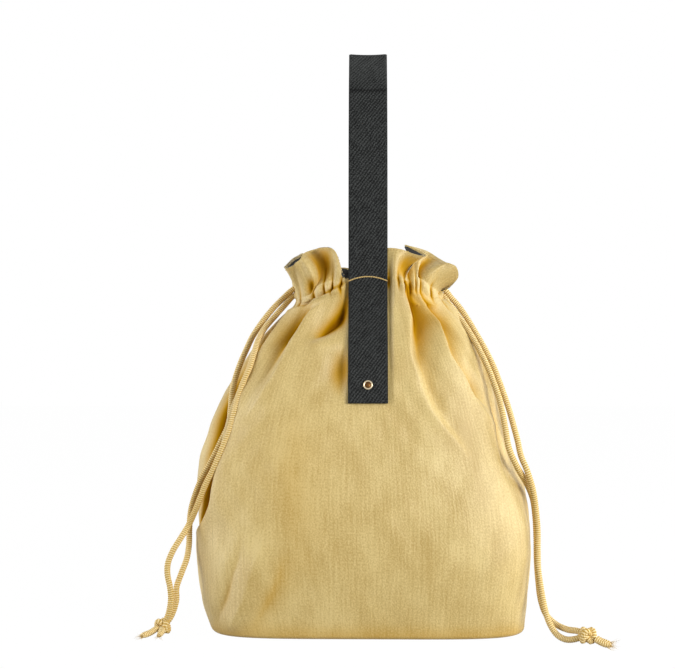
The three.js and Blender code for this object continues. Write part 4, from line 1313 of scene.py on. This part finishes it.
def webbing_material():
    """Diagonal ribs, notched across at an even pitch, between two borders of fine picks."""
    material, start = new_material("twill_webbing")
    across, along = cloth_place(start)
    patches = cloth_noise(start, 180, 180)
    grain = cloth_noise(start, 1000, 1000)
    aslant = across * math.cos(TWILL_SLOPE) - along * math.sin(TWILL_SLOPE)
    along_rib = along * math.cos(TWILL_SLOPE) + across * math.sin(TWILL_SLOPE)
    ribs = (aslant + patches * (TWILL_DRIFT * MM)).wave(TWILL_PITCH)
    notches = along_rib.wave(TWILL_CUT).step(-0.8, 0.8)
    field = 1 - across.size().step(*BORDER)
    weave = field * ribs * notches + (1 - field) * along.wave(PICK_PITCH)
    # The attribute paints shade along the fold line and light on the upward stretch above it
    tone = weave * 0.5 + grain * 1.6 + patches * 0.5 - shade_and_dome_mark(start) * 0.4
    color = tone.step(0.85, 1.9).mix(WEBBING_DARK, WEBBING_LIGHT)
    bump = bumped(weave + grain * 0.5, 0.6, 0.5)
    finish_material(start, {
        "Base Color": color, "Roughness": 0.75, "Specular IOR Level": 0.15, "Normal": bump,
    })
    return material


WEBBING = webbing_material()
sewn = np.linspace(150.5, 231, 24)
sewn_front = np.stack([0 * sewn, -(depth_at(sewn) + STRAP_LIFT), sewn], axis=-1)
half_line = np.concatenate([sewn_front, LOOP_FRONT])
whole_line = np.concatenate([half_line, (half_line * (1, -1, 1))[::-1]])
strap_line, strap_run = even_path(whole_line, STRAP_STEP)
strap_height = strap_line[:, 2:]
along = unit(np.gradient(strap_line, axis=0))
facing = np.stack([0 * along[:, 0], -along[:, 2], along[:, 1]], axis=-1)
columns = STRAP_WIDTH / 2 * np.sin(np.linspace(-1, 1, 33) * math.pi / 2)
thick = STRAP_THICKNESS / 2 * np.where(np.abs(columns) > SELVEDGE, SELVEDGE_SHARE, 1)
sag = -STRAP_SAG * (1 - (columns / 12.5) ** 2) * smooth(strap_height, *STRAP_TOP)
flat = strap_line[:, None] + columns[:, None] * np.array([1.0, 0, 0]) + sag[..., None] * up
outer = flat + thick[:, None] * facing[:, None]
inner = flat - thick[:, None] * facing[:, None]
# Painted shade in a bell along the fold line, and painted light above it where the strap faces up
fold_shade_and_top_light = bell(strap_height - STRAP_CREASE, 0.8) - 0.4 * smooth(strap_height, STRAP_CREASE, 375)
strap_shade_and_light = np.broadcast_to(fold_shade_and_top_light, flat.shape[:2])
strap = put_shell("strap", outer, inner, WEBBING, grid_uv(columns, strap_run), hollow=strap_shade_and_light)
dress(strap, nodes=["strap_front_end", "strap_back_end", "strap_loop"])
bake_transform(strap)
print("strap", round(strap_run[-1]), "mm long")

# %% [markdown]
# ## Golden thread
# Where the strap leaves the cloth a row of golden thread crosses it in a low arch. A painted stripe would
# do from far away, but two plies twisted round each other catch the light like sewing.

# %% Thread
THREAD_PLY = 0.24
THREAD_PITCH = 0.5
THREAD_TWIST = 26
THREAD_REACH, THREAD_ARCH = 12.7, 2.9
THREAD_DEPTH, THREAD_TOP = 40.2, 231.9
THREAD_DARK = (0.42, 0.25, 0.06, 1)
THREAD_LIGHT = (0.80, 0.60, 0.26, 1)


def thread_material():
    """Two golds that change along the thread with its pitch, slanted round it."""
    material, start = new_material("golden_thread")
    around, along = cloth_place(start)
    color = (along + around * THREAD_PITCH).wave(THREAD_PITCH).mix(THREAD_DARK, THREAD_LIGHT)
    finish_material(start, {"Base Color": color, "Roughness": 0.55})
    return material


def thread_row(place, sign):
    """Two plies that circle the line of a low arch, half a turn apart."""
    t = np.linspace(-1, 1, 90)
    arch = [THREAD_REACH * t, np.full_like(t, sign * THREAD_DEPTH), THREAD_TOP - THREAD_ARCH * t * t]
    plies = []
    for number in (0, 1):
        twist = t * THREAD_TWIST + number * math.pi
        ply = np.stack(arch, axis=-1) + 0.2 * np.stack([0 * t, np.cos(twist), np.sin(twist)], axis=-1)
        turn, around = spokes(*path_frame(ply, (0, 1, 0)), 8)
        rings = ply[:, None] + THREAD_PLY * around
        uv = grid_uv(turn / math.tau, THREAD_REACH * t)
        plies.append(put_tube(f"{place}_thread_ply_{number + 1}", rings, THREAD, uv))
    return plies


THREAD = thread_material()
print("finish:", THREAD.name)

# %% [markdown]
# ## Rivets
# Near each end of the strap a brass rivet goes through strap and cloth. Its cap is a turned shape, a bright
# rolled ring around a darker sunken dome, so it is a profile spun about the rivet's own axis. That axis is
# square to the sloping cloth.

# %% Rivets
RIVET_HEIGHT = 162
RIVET_SEAT = 1.9
RIVET_SIDES = 40
RIVET_DOME = 2.1
RIVET_PROFILE = [
    (2.55, -0.1), (3.05, 0.1), (3.15, 0.55), (3.0, 0.98), (2.65, 1.22), (2.25, 1.16), (2.0, 0.86),
    (1.9, 0.55), (1.7, 0.5), (1.35, 0.72), (0.8, 0.92), (0.02, 1.0),
]
BRASS_RING = (0.56, 0.47, 0.32, 1)
BRASS_DOME = (0.125, 0.06, 0.02, 1)


def brass_material():
    """Worn brass on the ring; the attribute is 1 in the sunken dome, where it is brown and duller."""
    material, start = new_material("aged_brass")
    dome = shade_and_dome_mark(start)
    worn = dome + object_noise(start, 900.0) * 0.3 - 0.15
    color = worn.step(0.0, 1.0).mix(BRASS_RING, BRASS_DOME)
    finish_material(start, {"Base Color": color, "Metallic": 1.0, "Roughness": dome * 0.1 + 0.36})
    return material


def rivet_cap(place, sign):
    """A profile of radii and heights spun about an axis that is square to the cloth under the strap."""
    slope = (depth_at(RIVET_HEIGHT + 1) - depth_at(RIVET_HEIGHT - 1)) / 2
    axis = unit(np.array([0, sign, -slope]))
    _, spun = spokes(np.array([1.0, 0, 0]), sign * np.cross(axis, (1, 0, 0)), RIVET_SIDES)
    radius, lift = np.array(RIVET_PROFILE).T[..., None, None]
    centre = np.array([0, sign * (depth_at(RIVET_HEIGHT) + RIVET_SEAT), RIVET_HEIGHT])
    rings = (centre + radius * spun + lift * axis)[:, ::sign]
    top = np.arange(RIVET_SIDES) + (len(radius) - 1) * RIVET_SIDES
    faces = [grid_quads(len(radius), RIVET_SIDES, wrapped=True), top[None]]
    dome = np.repeat(1.0 * (radius < RIVET_DOME), RIVET_SIDES)
    return put_mesh(f"{place}_rivet", rings.reshape(-1, 3), faces, BRASS, hollow=dome)


BRASS = brass_material()
for place, sign in (("front", -1), ("back", 1)):
    first_ply, second_ply = thread_row(place, sign)
    dress(first_ply, "bag", [f"strap_{place}_thread"])
    dress(second_ply, "bag")
    dress(rivet_cap(place, sign), "bag", [f"{place}_rivet_cap"])
    refinish(f"{place}_rivet_post", BRASS)
print("threads and rivets on front and back")

# %% [markdown]
# ## Cords in the casing, and the rim's stitches
# Inside the casing both cords run round the neck; they use the same ribbed tube. The ruffle's rim is hemmed
# with a row of small stitches. Each stitch is a short capsule on the cloth, and all those of one half are
# one mesh.

# %% Stitches
STITCH_PITCH = 1.9
STITCH_HALF = 0.62
STITCH_RADIUS = 0.2
STITCH_LIFT = 0.12
STITCH_RINGS, STITCH_SIDES = 5, 6
STITCHED_ROW = 4


def stitch_row(name, line, normals):
    """Capsules at an even pitch along a line: five rings each, whose radius follows sqrt(1 - s^2)."""
    run = run_along(line)
    places = np.arange(1.5, run[-1] - 1.5, STITCH_PITCH)
    out = unit(read_at(places, run, normals))
    forward = unit(read_at(places, run, np.gradient(line, axis=0)))
    centre = read_at(places, run, line) + STITCH_LIFT * out
    s = np.linspace(-1, 1, STITCH_RINGS)[:, None]
    path = centre[:, None] + STITCH_HALF * s * forward[:, None]
    radius = STITCH_RADIUS * np.sqrt(1.02 - s * s)
    _, around = spokes(out, np.cross(forward, out), STITCH_SIDES)
    points = (path[:, :, None] + radius[..., None] * around[:, None]).reshape(-1, 3)
    stitch = grid_quads(STITCH_RINGS, STITCH_SIDES, wrapped=True)[:, ::-1]
    faces = copied_quads(stitch, len(places), STITCH_RINGS * STITCH_SIDES)
    return put_mesh(name, points, [faces], THREAD, np.zeros((len(points), 2)))


print("stitches every", STITCH_PITCH, "mm")

# %% Casing cords and sheets
CASING_CORDS = {"upper": 226, "lower": 221}
CASING_REACH, CASING_DEPTH, CASING_SQUARENESS = 44.6, 33.4, 2.3
CASING_SHARES = np.linspace(0.16, 0.84, 25)
CASING_ROOT = 230


def casing_cord(side, sign, level, height):
    """A cord inside one half of the casing, lower where the foot of the ruffle dips."""
    line, _ = half_ring(CASING_REACH, CASING_DEPTH, CASING_SQUARENESS, CASING_SHARES)
    dip = np.minimum(through(ROOT_SHARES, ROOT_HEIGHTS, sign * CASING_SHARES) - CASING_ROOT, 0)
    route = np.column_stack([line * (sign, 1), height + dip])
    inside, _, _ = ribbed_tube(f"{side}_casing_cord_{level}", route, (0, 0, 1))
    dress(inside, f"{side}_neck", [f"{side}_tunnel_{level}_cord"])


for side, sign in (("left", -1), ("right", 1)):
    rim_line = canvas[-STITCHED_ROW, HALVES[side]]
    rim_normals = canvas_normals[-STITCHED_ROW, HALVES[side]]
    stitches = dress(stitch_row(f"{side}_rim_stitches", rim_line, rim_normals))
    blend_with_neck(stitches, side)
    for level, height in CASING_CORDS.items():
        casing_cord(side, sign, level, height)
print("casing cords and stitches done")
